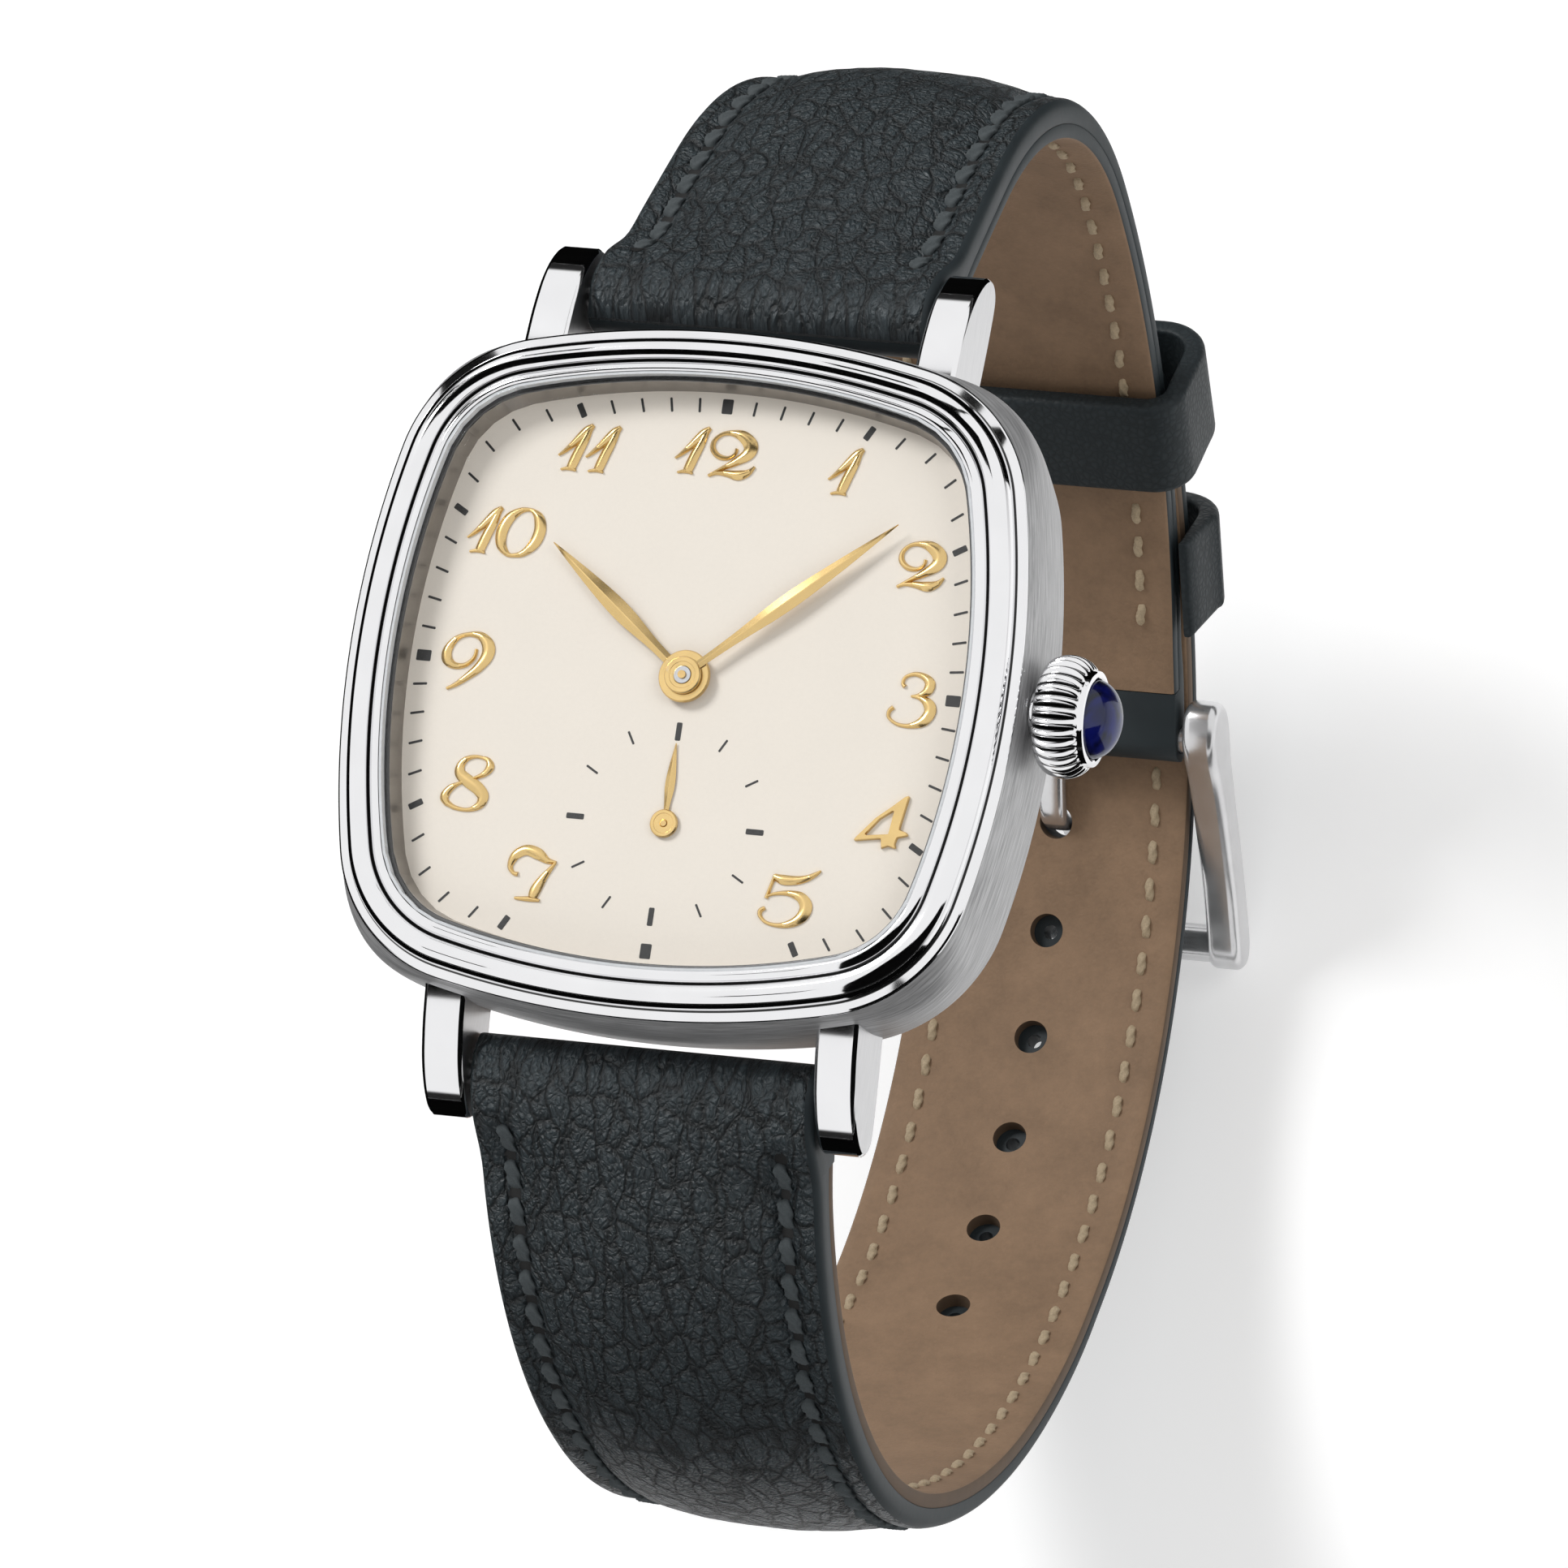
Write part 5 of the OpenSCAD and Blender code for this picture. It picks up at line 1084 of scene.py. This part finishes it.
class Band:
    """Shape of one side of the strap: half thickness, width and the leather's outer face at any place."""

    def __init__(self, name):
        self.strap = strap = Sizes("strap")
        self.lining = strap.lining
        self.thick, self.thin = strap.thickness, strap.thin
        self.fold = self.thick / 2 + 0.35
        self.pin_fold = self.thin / 2 + 0.15
        self.inset = strap.stitch_inset
        self.short = name == "short"
        if self.short:
            self.path = short_path()
            self.size = strap.short_length
            self.lining_end = self.size - 2.9
        else:
            arcs, self.passing = long_shape()
            self.path = Path(arcs, LONG_HEADING, -1)
            self.size = self.lining_end = self.passing + strap.overlap
        self.lining_start = 3.5

    def width(self, s):
        strap = self.strap
        w = mix(strap.width, strap.end_width, (s - 3) / (strap.short_length - 8))
        if self.short:
            return w
        k = max(0.0, 1 - (self.size - s) / 10)
        return w * math.sqrt(max(0.02, 1 - k**2.4))

    def middle(self, s):
        return mix(self.thick, self.thin, smooth((s - 8) / 52))

    def half(self, s):
        if s < 0:
            return math.sqrt(max(0.0004, self.fold**2 - s * s))
        if self.short and s > self.size:
            return math.sqrt(max(0.0004, self.pin_fold**2 - (s - self.size) ** 2))
        middle = mix(self.fold, self.middle(s) / 2, smooth(s / 6))
        if self.short:
            return max(middle, mix(0, self.pin_fold, (s - self.size + 6) / 6))
        return middle

    def edge(self, s):
        full = 2 * self.half(s)
        low = min(full, mix(self.thick - 0.9, self.thin - 0.25, smooth((s - 4) / 40)))
        low = mix(full, low, smooth((s - 0.8) / 4.5))
        return mix(low, full, smooth((s - self.size + 6) / 3)) if self.short else low

    def top(self, s, x):
        """Height of the outer face over the middle of the strap's thickness."""
        w, h, edge = self.width(s), self.half(s), self.edge(s)
        away = w / 2 - abs(x)
        inner = max(0.5, w / 2 - self.inset - 0.3)
        reach = min(1.0, max(0.0, (away - self.inset - 0.3) / inner))
        z = -h + edge + (2 * h - edge) * (1 - (1 - reach) ** 2.6)
        last = self.size - 5.6 if self.short else self.size - 1.4
        seam = math.exp(-abs((away - self.inset) / 0.42) ** 2.4)
        z -= 0.3 * seam * min(1, edge / 2.2) * smooth((s - 1.4) / 0.9) * smooth((last - s) / 0.9)
        ease = 0.62 * min(1, edge / 1.9)
        if away < ease:
            z -= ease * (1 - math.sqrt(max(0.0, 1 - (1 - away / ease) ** 2)))
        if 0 < s:
            fade = smooth(s / 4) * min(1, away / 1.5)
            wave = noise.noise(Vector((s * 0.3, x * 0.3, 7.0 if self.short else 3.0)))
            ripple = noise.noise(Vector((s * 0.35, x * 1.1, 5.0)))
            z += (0.05 * wave + 0.045 * ripple) * fade
        return z

    def stations(self):
        start = [-k * self.fold for k in FOLD_STEPS]
        end = [self.size + k * self.pin_fold for k in FOLD_STEPS] if self.short else [self.size - k for k in TIP_STEPS]
        last = self.size if self.short else self.size - 8.5
        count = int(last / 0.75)
        middle = [last * k / count for k in range(count + 1)]
        breaks = [self.lining_start, self.lining_start + 0.05]
        if self.short:
            breaks += [self.lining_end, self.lining_end + 0.05]
        middle = [s for s in middle if all(abs(s - b) > 0.2 for b in breaks)]
        return sorted(start + middle + breaks + end)

    def floor(self, s):
        """Underside of the upper leather: it lies on the lining between the folds."""
        lined = self.lining_start < s and (not self.short or s < self.lining_end + 0.04)
        return -self.half(s) + (self.lining if lined else 0.0)


ACROSS = 72


def widths(half, ease):
    """Places across the strap, closer together at its edges."""
    rim = [half - ease * k for k in (0, 0.03, 0.1, 0.22, 0.4, 0.65, 1)]
    inner = half - ease
    count = ACROSS - 14
    middle = [-inner + 2 * inner * k / count for k in range(1, count)]
    return [-v for v in rim] + middle + rim[::-1]


def upper_leather(band):
    rings, uv = [], []
    for s in band.stations():
        w = band.width(s) / 2
        low = band.floor(s)
        places = widths(w, min(0.5, w * 0.3))
        ring = [band.path.point(s, x, band.top(s, x)) for x in places]
        uv += [(s / 100, x / 100) for x in places]
        for x in [w, w - 0.06] + [w * k for k in (0.6, 0, -0.6)] + [-w + 0.06, -w]:
            ring.append(band.path.point(s, x, low + (0.06 if abs(x) == w else 0.0)))
            uv.append((s / 100 + 0.5, x / 100))
        rings.append(ring)
    return *loft(rings), marks_of(rings, lambda k, n: not 4 <= k < ACROSS - 7), uv


def marks_of(rings, marked):
    """Second finish on the marked columns of a loft of n columns, first on the rest and on its two caps."""
    n = len(rings[0])
    return [1 if marked(k, n) else 0 for _ in rings[1:] for k in range(n)] + [0, 0]


def lining_sheet(band):
    rings, uv = [], []
    for s in band.stations():
        if not band.lining_start < s < band.lining_end + 0.02:
            continue
        w = band.width(s) / 2
        h = band.half(s)
        side = [(w - 0.02, -0.05), (w - 0.02, 0.22 - band.lining), (w - 0.08, 0.09 - band.lining),
                (w - 0.2, 0.01 - band.lining)]
        section = [(0.05 - w, 0.0), (w - 0.05, 0.0)] + side
        section += [(w * k, -band.lining) for k in (0.9, 0.72, 0.5, 0.25, 0, -0.25, -0.5, -0.72, -0.9)]
        section += [(-x, z) for x, z in side[::-1]]
        rings.append([band.path.point(s, x, -h + band.lining + z - 0.002) for x, z in section])
        uv += [(s / 100, x / 100) for x, z in section]
    return *loft(rings), marks_of(rings, lambda k, n: 1 <= k <= 3 or k >= n - 3), uv


def cut(obj, cutters):
    """Cut closed shapes out of a piece; the cut faces take its second finish."""
    obj.data.transform(Matrix.Scale(1 / MM, 4))
    tools = []
    for points, faces in cutters:
        mesh = bpy.data.meshes.new("cutter")
        mesh.from_pydata([Vector(p) for p in points], [], faces)
        for slot in obj.data.materials:
            mesh.materials.append(slot)
        mesh.polygons.foreach_set("material_index", [1] * len(mesh.polygons))
        wind_outwards(mesh)
        tools.append(linked("cutter", mesh))
        step = obj.modifiers.new("cut", "BOOLEAN")
        step.operation = "DIFFERENCE"
        step.solver = "EXACT"
        step.object = tools[-1]
    graph = bpy.context.evaluated_depsgraph_get()
    mesh = bpy.data.meshes.new_from_object(obj.evaluated_get(graph))
    obj.modifiers.clear()
    obj.data = mesh
    for tool in tools:
        bpy.data.objects.remove(tool)
    mesh.transform(Matrix.Scale(MM, 4))
    mesh.set_sharp_from_angle(angle=math.radians(50))


BAR_BORE, PIN_BORE = 0.8, 0.75
CLOSED_UP = 0.42  # the punched holes that aren't in use have closed up to this share outside


def rod(path, s, radius):
    """Cylinder across the strap at a station, for a bore."""
    return loft([[path.point(s, x, radius * d, radius * c) for c, d in spokes(40)] for x in (-30, 30)])


def punch(path, s, radius):
    """Cylinder through the strap at a station, for a punched hole."""
    return loft([[path.point(s, radius * c, rise, radius * d) for c, d in spokes(40)] for rise in (-5, 5)])


class WATCH_OT_strap(bpy.types.Operator):
    """Padded leather strap with its lining, folds and punched holes"""

    bl_idname = "watch.strap"
    bl_label = "Strap"

    def execute(self, context):
        strap = Sizes("strap")
        short, long = Band("short"), Band("long")
        hole = long.passing - strap.tongue_reach
        places = [hole - k * strap.hole_pitch for k in range(-1, 6)]
        holes = [punch(long.path, s, strap.hole_radius) for s in places]
        closed_up = [punch(long.path, s, strap.hole_radius * (1 if s == hole else CLOSED_UP)) for s in places]
        tongue_slot = loft([[short.path.point(short.size, x, rise, along)
                             for x, along in ((-1.2, -2.4), (1.2, -2.4), (1.2, 6), (-1.2, 6))] for rise in (-5, 5)])
        bores = [rod(short.path, 0, BAR_BORE), rod(short.path, short.size, PIN_BORE), tongue_slot]
        for name, band, node, edge, cutters in (
            ("upper_short", short, "strap_12", "edge_paint", bores),
            ("lining_short", short, "strap_12_lining", "edge_paint", []),
            ("upper_long", long, "strap_6", "edge_paint", [rod(long.path, 0, BAR_BORE)] + closed_up),
            ("lining_long", long, "strap_6_lining", "lining_edge", holes),
        ):
            upper = name.startswith("upper")
            points, faces, marks, uv = upper_leather(band) if upper else lining_sheet(band)
            obj = build("strap_" + name, [(points, faces)], ["leather" if upper else "lining_leather", edge],
                        replaces=(node,), marks=marks, uv=uv, sharp=50, slot="leather" if upper else "lining")
            if cutters:
                cut(obj, cutters)
        return {"FINISHED"}


# Seams


# Stitches as (share of the pitch, thread's radius, slant)
OUTER_STITCH, INNER_STITCH = (0.86, 0.34, 0.13), (0.72, 0.23, -0.06)


def seam_line(band):
    """Line of the seam as (distance, offset), a fixed way in from the edge, round the tip of the long side."""
    first = 2.1
    if band.short:
        last = band.size - 6.2
        side = [(s, band.width(s) / 2 - band.inset) for s in (first + (last - first) * k / 120 for k in range(121))]
        return [side, [(s - 0.5, -x) for s, x in side]]
    right = [(s, band.width(s) / 2) for s in (first + (band.size - first) * k / 900 for k in range(901))]
    outline = right + [(band.size + 0.02, 0)] + [(s, -x) for s, x in right[::-1]]
    points = inset(outline, band.inset)[3:-3]
    end = band.size - band.inset - 0.4
    return [[p for p in points if p[0] <= end or abs(p[1]) < band.width(end) / 2]]


def along_line(line, pitch):
    """Places every pitch along a line, with the direction there."""
    out = []
    gone, target = 0.0, pitch * 0.5
    for (a, b), (c, d) in zip(line, line[1:]):
        size = math.hypot(c - a, d - b)
        while size > 0 and gone + size >= target:
            k = (target - gone) / size
            out.append((a + (c - a) * k, b + (d - b) * k, (c - a) / size, (d - b) / size))
            target += pitch
        gone += size
    return out


def stitch(place, pitch, kind, rng):
    """Twisted thread that comes out of the leather, lies on it and goes back in; place puts (u, v, w)."""
    rings = []
    share, radius, slant = kind
    size = pitch * share
    turns, steps = 15, 19
    lean = slant + rng.uniform(-0.05, 0.05)
    twist = rng.uniform(0, 3)
    for i in range(steps):
        t = i / (steps - 1)
        u = (t - 0.5) * size
        sink = abs(2 * t - 1) ** 5 * radius * 1.5
        thin = 0.5 + 0.5 * math.sin(math.pi * t) ** 0.6
        ring = []
        for k, (c, s) in enumerate(spokes(turns)):
            r = radius * thin * (1 + 0.2 * math.cos(6 * math.pi * k / turns + 13 * t + twist))
            ring.append(place(u, r * c + lean * u, 0.8 * r * s + radius * 0.35 - sink))
        rings.append(ring)
    return loft(rings)


def awl_hole(place, radius, back):
    """Flat dark spot where the thread goes in: painted shade of the awl hole."""
    rows = ((radius, -0.05), (radius, 0.012), (radius * 0.8, 0.022))
    return loft([[place(1.25 * r * c - back, r * s, w) for c, s in spokes(14)] for r, w in rows])


class WATCH_OT_seams(bpy.types.Operator):
    """Stitches along both faces of the strap"""

    bl_idname = "watch.seams"
    bl_label = "Seams"

    def execute(self, context):
        rng = random.Random(11)
        pitch = Sizes("strap").stitch_pitch
        for kind in ("short", "long"):
            band = Band(kind)
            outside, inside, holes = [], [], []
            for line in seam_line(band):
                for s, x, ds, dx in along_line(line, pitch):
                    outer, inner = (self.on_face(band, s, x, ds, dx, out) for out in (True, False))
                    outside.append(stitch(outer, pitch, OUTER_STITCH, rng))
                    # Each stitch hole gets a flat dark spot of painted shade
                    holes.append(awl_hole(outer, 0.33, pitch / 2))
                    if band.lining_start + 0.8 < s < band.lining_end - 0.6:
                        inside.append(stitch(inner, pitch, INNER_STITCH, rng))
                        holes.append(awl_hole(inner, 0.2, pitch / 2))
            for name, parts, look, slot in (
                ("seam_outside_", outside, "seam_thread", "leather"),
                ("seam_lining_", inside, "lining_thread", "lining"), ("seam_holes_", holes, "awl_hole", "leather"),
            ):
                build(name + kind, parts, [look], sharp=80, slot=slot)
        return {"FINISHED"}

    def on_face(self, band, s, x, ds, dx, outside):
        """Axes of a stitch at a place on the outer leather or on the lining."""
        def place(u, v, w):
            a, b = s + u * ds - v * dx, x + u * dx + v * ds
            return band.path.point(a, b, band.top(a, b) + w if outside else -band.half(a) - w + 0.03)

        return place


# Keepers and buckle


def rounded(corners, steps):
    """Closed outline of quarter turns, each given as (centre, centre, first angle, radius)."""
    out = []
    for cx, cy, start, radius in corners:
        for k in range(steps + 1):
            q = math.radians(start + 90 * k / steps)
            out.append((cx + radius * math.cos(q), cy + radius * math.sin(q)))
    return out


def round_box(w, a, b, r, low):
    """Rounded box of half width w from height a to b, starting at the top right; low is its lower radius."""
    return rounded([(w - r, b - r, 0, r), (-w + r, b - r, 90, r), (-w + low, a + low, 180, low),
                    (w - low, a + low, 270, low)], 10)


def leather_section(thick, size, ease):
    """Rounded section of a leather band: (out, along) from its inner face."""
    out, half, small = thick - ease, size / 2, ease * 0.6
    return rounded([(out, half - ease, 0, ease), (small, half - small, 90, small), (small, -half + small, 180, small),
                    (out, -half + ease, 270, ease)], 4)


class WATCH_OT_keepers(bpy.types.Operator):
    """Leather keepers: a free one right round the strap, and a sewn one over its outside"""

    bl_idname = "watch.keepers"
    bl_label = "Keepers"

    def execute(self, context):
        strap = Sizes("strap")
        band = Band("short")
        high = strap.thin * 1.5 + 0.3 + 0.75
        # Name, distance back from the pin, lower edge and its corners, body and node
        for name, back, low, corner, body, node in (
            ("keeper_free", 18.8, -strap.thin / 2 - 0.6, 0.9, "free_keeper", "free_keeper"),
            ("keeper_sewn", 9, -1.6, 0.75, "case", "fixed_keeper"),
        ):
            s = strap.short_length - back
            loop = dense(round_box(band.width(s) / 2 + 0.45, low, high, 1.75, corner), 3)
            closed = name == "keeper_free"
            if not closed:
                loop = sorted((p for p in loop if p[1] > -0.95), key=lambda p: math.atan2(p[1] + 1.2, p[0]))
            self.band_of(name, band, s, loop, closed, body, node)
        return {"FINISHED"}

    def band_of(self, name, band, s, loop, closed, body, node):
        section = leather_section(band.strap.keeper_leather, band.strap.keeper_length, 0.36)
        rings = []
        n = len(loop)
        for i, ((x, z), (nx, nz)) in enumerate(zip(loop, normals(loop, closed))):
            taper = 1.0 if closed else 0.35 + 0.65 * smooth(min(i, n - 1 - i) / 7)
            ring = []
            for out, along in section:
                reach = out * taper + 0.03 * noise.noise(Vector((x * 0.5, along * 0.5, z * 0.5)))
                ring.append(band.path.point(s, x - nx * reach, z - nz * reach, along))
            rings.append(ring)
        obj = build(name, [loft(rings, tube=closed)], ["smooth_leather"], body=body, replaces=(node,), sharp=60,
                    slot="leather")


class WATCH_OT_buckle(bpy.types.Operator):
    """Polished tang buckle: frame with curled foot and outer bar, and its tongue"""

    bl_idname = "watch.buckle"
    bl_label = "Buckle"

    def execute(self, context):
        strap = Sizes("strap")
        band = Band("short")
        inner = strap.end_width / 2 + 0.5
        size = strap.buckle_length
        bar, bar_z, wear = size - 0.35, 4, 0.22

        def place(x, y, z):
            return band.path.point(band.size, x, z, y)

        arm = curve_through([
            (-2.15, -0.5), (-1.6, -1.2), (-0.3, -1.5), (0.9, -1.15), (2.2, -0.45), (4, 0.3), (6.5, 1.2), (9, 2),
            (11.6, 2.6), (12.9, 2.85), (13.7, 3.3), (13.95, 4.05), (13.65, 4.75), (12.8, 5.05), (11.4, 4.85), (8, 3.95),
            (5.4, 3.15), (3.5, 2.55), (2, 2.1), (1, 1.85), (0, 1.7), (-1.3, 1.35), (-2.1, 0.5),
        ], 5, closed=True)
        arm = [(y * size / 13, z) for y, z in arm]
        parts = []
        for x in (inner - 0.15, -inner - 1.75):
            parts.append(slab(arm, x, x + 1.9, lambda y, z, w: place(w, y, z), edge=0.5, turns=6))
        rings = []
        for i in range(61):
            x = -inner - 0.3 + (2 * inner + 0.6) * i / 60
            ring = []
            for c, s in spokes(48):
                r = 1 - wear * math.exp(-((x / 0.85) ** 4)) * max(0.0, s) ** 2
                ring.append(place(x, bar + r * c, bar_z + r * s))
            rings.append(ring)
        parts.append(loft(rings))
        build("buckle_polished", parts, ["buckle_steel"], body="buckle_frame", replaces=("buckle_frame",), sharp=32,
              slot="polished_steel")
        self.tongue(place, bar)
        self.pin_ends(place, inner)
        return {"FINISHED"}

    def tongue(self, place, bar):
        """Bent strip through the strap's hole, over the outer bar, with its eye on the pin."""
        spine = curve_through([
            (0.2, 0), (1.6, 0), (3.6, 0), (4.8, 0.2), (5.5, 1), (5.9, 2.2), (6.4, 3.5), (7.4, 4.5), (8.6, 4.92),
            (10, 5.2), (bar, 5.44), (bar + 0.95, 5.4),
        ], 6)
        rings = []
        last = len(spine) - 1
        for i, ((y, z), (ny, nz)) in enumerate(zip(spine, normals(spine))):
            tip = math.sqrt(min(1.0, (last - i) / 6))
            half_w = 0.7 * (0.72 + 0.28 * tip)
            half_t = 0.45 * (0.6 + 0.4 * tip)
            ring = []
            for c, s in spokes(20):
                x, t = math.copysign(abs(c) ** 0.5, c) * half_w, math.copysign(abs(s) ** 0.6, s) * half_t
                ring.append(place(x, y + ny * t, z + nz * t))
            rings.append(ring)
        eye = revolve([(0.76, -0.72), (1.02, -0.72), (1.14, -0.6), (1.14, 0.6), (1.02, 0.72), (0.76, 0.72)],
                      lambda a, b, h: place(h, a, b), 48)
        build("buckle_tongue_bent", [loft(rings), eye], ["buckle_steel"], body="buckle_tongue",
              replaces=("buckle_tongue",), sharp=40, slot="polished_steel")

    def pin_ends(self, place, inner):
        """Pin of the buckle, with turned ends."""
        end = inner + 1.42
        profile = [(0.02, -end - 0.02), (0.5, -end), (0.66, -end + 0.1), (0.69, -end + 0.25), (0.69, end - 0.25),
                   (0.66, end - 0.1), (0.5, end), (0.02, end + 0.02)]
        pin = revolve(profile, lambda a, b, h: place(h, a, b), 48, caps=True)
        build("buckle_pin", [pin], ["buckle_steel"], replaces=("buckle_bar",), sharp=40, slot="polished_steel")


# Finishes of the frame's own nodes, and the studio


class WATCH_OT_finishes(bpy.types.Operator):
    """Finish of every node that is shown as it is"""

    bl_idname = "watch.finishes"
    bl_label = "Node finishes"

    def execute(self, context):
        for name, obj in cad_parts.items():
            if obj.hide_render:
                continue
            for slot in obj.material_slots:
                key = slot.material.name.split(".")[0] if slot.material else ""
                if name != "inner_flange" and key not in NODE_FINISHES:
                    raise RuntimeError("No finish for " + name + ": " + key)
                slot.material = finish("flange_steel" if name == "inner_flange" else NODE_FINISHES[key])
        return {"FINISHED"}


class WATCH_OT_studio(bpy.types.Operator):
    """Pale floor, soft lamps, cards for the steel's reflections and the camera"""

    bl_idname = "watch.studio"
    bl_label = "Studio"

    def execute(self, context):
        scene = bpy.context.scene
        low = min(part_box(name)[0].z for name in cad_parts)
        low /= MM
        self.floor(low - 0.2)
        self.world(scene)
        for name, at, aim, size, power in (
            ("key_softbox", (-0.40, 0.34, 0.48), (0, 0, 0), 0.22, 2.9),
            ("fill_softbox", (0.45, 0.16, 0.40), (0, 0, 0), 0.30, 0.7),
            ("low_softbox", (0.1, -0.5, 0.35), (0, 0, -0.02), 0.30, 0.4),
        ):
            data = bpy.data.lights.new(name, "AREA")
            data.shape, data.size, data.energy = "SQUARE", size, power
            lamp = linked(name, data)
            lamp.location = at
            lamp.rotation_euler = (Vector(aim) - Vector(at)).to_track_quat("-Z", "Y").to_euler()
            lamp.visible_glossy = name == "key_softbox"
        self.cards(low + 2)
        self.camera(scene)
        return {"FINISHED"}

    def floor(self, z):
        r = 3000
        corners = [(-r, -r, z), (r, -r, z), (r, r, z), (-r, r, z)]
        obj = linked("studio_floor", mesh_of("studio_floor", corners, [(0, 1, 2, 3)], ["studio_paper"]))

    def world(self, scene):
        world = bpy.data.worlds.new("studio_world")
        scene.world = world
        sh = Shader(world)
        path = [sh.add("ShaderNodeLightPath", output=name) for name in (
            "Is Camera Ray", "Is Glossy Ray", "Is Transmission Ray")]
        seen = path[0].math("MAXIMUM", path[0], path[1].math("MAXIMUM", path[1], path[2]))
        # Metal sees a dark horizon under the white tent
        where = sh.add("ShaderNodeTexCoord", output="Generated")
        height = sh.add("ShaderNodeSeparateXYZ", inputs={0: where}, output=2)
        crown_side = ((sh.add("ShaderNodeSeparateXYZ", inputs={0: where}) - 0.8) * 8.0).clamp()
        tent = 1.0 - path[1] * (1.0 - ((height - 0.1) * 25.0).clamp()) * (1.0 - crown_side) * 0.98
        strength = (0.42 + seen * 0.58) * tent
        tint = sh.add("ShaderNodeBackground", inputs={"Color": (1, 1, 1, 1), "Strength": strength})
        sh.add("ShaderNodeOutputWorld", inputs={"Surface": tint})

    def flat(self, outline, height=25):
        """Card that hangs level, a little over the watch."""
        return [(x, y, height) for x, y in outline], [tuple(range(len(outline)))]

    def cards(self, low):
        """Dark cards that only the steel sees give its rolls and lugs their black bands."""
        ring = [(r * math.cos(a), r * math.sin(a), low) for a in (math.radians(34 + 292 * k / 48) for k in range(49))
                for r in (62, 2900)]
        case = Sizes("case")
        lug = case.lug_gap / 2 + case.lug_width / 2
        cards = {
            "card_ring": (ring, [(2 * k, 2 * k + 1, 2 * k + 3, 2 * k + 2) for k in range(48)]),
            "card_roll_left": self.flat([
                (-70, 62), (-47.5, 38.9), (-25.7, 26.4), (-17.1, 18.8), (-12.4, 15.5), (-15.5, 14), (-21, 17.8),
                (-30.8, 21.4), (-70, 38)]),
            "card_roll_right": self.flat([
                (4.7, 16.6), (7.9, 21.8), (12.8, 29.4), (30, 70), (36, 82), (16, 33), (7, 16.6), (3.5, 13.1)]),
            "card_top": self.flat([(-18, 12), (12, 12), (13, 15.6), (-18, 15.6)], 15),
            "card_corner": self.flat([
                (8.5, -12), (20, -16.5), (43, -15.5), (160, -30), (160, -170), (28, -170), (11, -31.5), (8.5, -18)]),
        }
        for near, far in ((24, 30), (-19, -21.5)):
            for x in (lug, -lug):
                cards["card_lug_" + str(len(cards))] = self.flat([
                    (x - 9.6, near), (x - 4.4, near), (x - 5.4, far), (x - 11, far)])
        for name, (points, faces) in cards.items():
            obj = linked(name, mesh_of(name, points, faces, ["card_black"]))
            for ray in ("camera", "diffuse", "shadow", "transmission"):
                setattr(obj, "visible_" + ray, False)

    def camera(self, scene):
        data = bpy.data.cameras.new("camera")
        data.sensor_width, data.lens = 36, 304.84
        data.clip_start, data.clip_end = 0.01, 20
        obj = linked("camera", data)
        right = Vector((0.946702, 0.145587, -0.287332))
        up = Vector((-0.084921, 0.973278, 0.213349))
        back = Vector((0.310715, -0.177577, 0.933768))
        turn = Matrix((right, up, back)).transposed().to_4x4()
        obj.matrix_world = Matrix.Translation((0.20489, -0.11861, 0.60477)) @ turn
        scene.camera = obj


class WATCH_PT_panel(bpy.types.Panel):
    """Sizes, colours and the pieces of the watch"""

    bl_idname = "WATCH_PT_panel"
    bl_label = "Watch"
    bl_space_type = "VIEW_3D"
    bl_region_type = "UI"
    bl_category = "Watch"

    def draw(self, context):
        for name in GROUPS:
            group = settings(name)
            box = self.layout.box()
            box.label(text=name.capitalize())
            for key in group.bl_rna.properties.keys():
                if key not in ("rna_type", "name"):
                    box.prop(group, key)
        for operator in OPERATORS:
            self.layout.operator(operator.bl_idname)


GROUPS = {"case": CaseSettings, "dial": DialSettings, "strap": StrapSettings, "finish": FinishSettings}
OPERATORS = [
    WATCH_OT_case, WATCH_OT_bezel, WATCH_OT_crystal, WATCH_OT_crown, WATCH_OT_marks, WATCH_OT_numerals,
    WATCH_OT_hands, WATCH_OT_strap, WATCH_OT_seams, WATCH_OT_keepers, WATCH_OT_buckle, WATCH_OT_finishes,
    WATCH_OT_studio,
]


def register():
    for name, group in GROUPS.items():
        bpy.utils.register_class(group)
        setattr(bpy.types.Scene, "watch_" + name, bpy.props.PointerProperty(type=group))
    for operator in OPERATORS:
        bpy.utils.register_class(operator)
    bpy.utils.register_class(WATCH_PT_panel)


def unregister():
    bpy.utils.unregister_class(WATCH_PT_panel)
    for operator in reversed(OPERATORS):
        bpy.utils.unregister_class(operator)
    for name, group in GROUPS.items():
        delattr(bpy.types.Scene, "watch_" + name)
        bpy.utils.unregister_class(group)


def main():
    register()
    bpy.context.scene.view_settings.view_transform = "Standard"
    for operator in OPERATORS:
        group, name = operator.bl_idname.split(".")
        getattr(getattr(bpy.ops, group), name)()


if __name__ == "__main__":
    main()
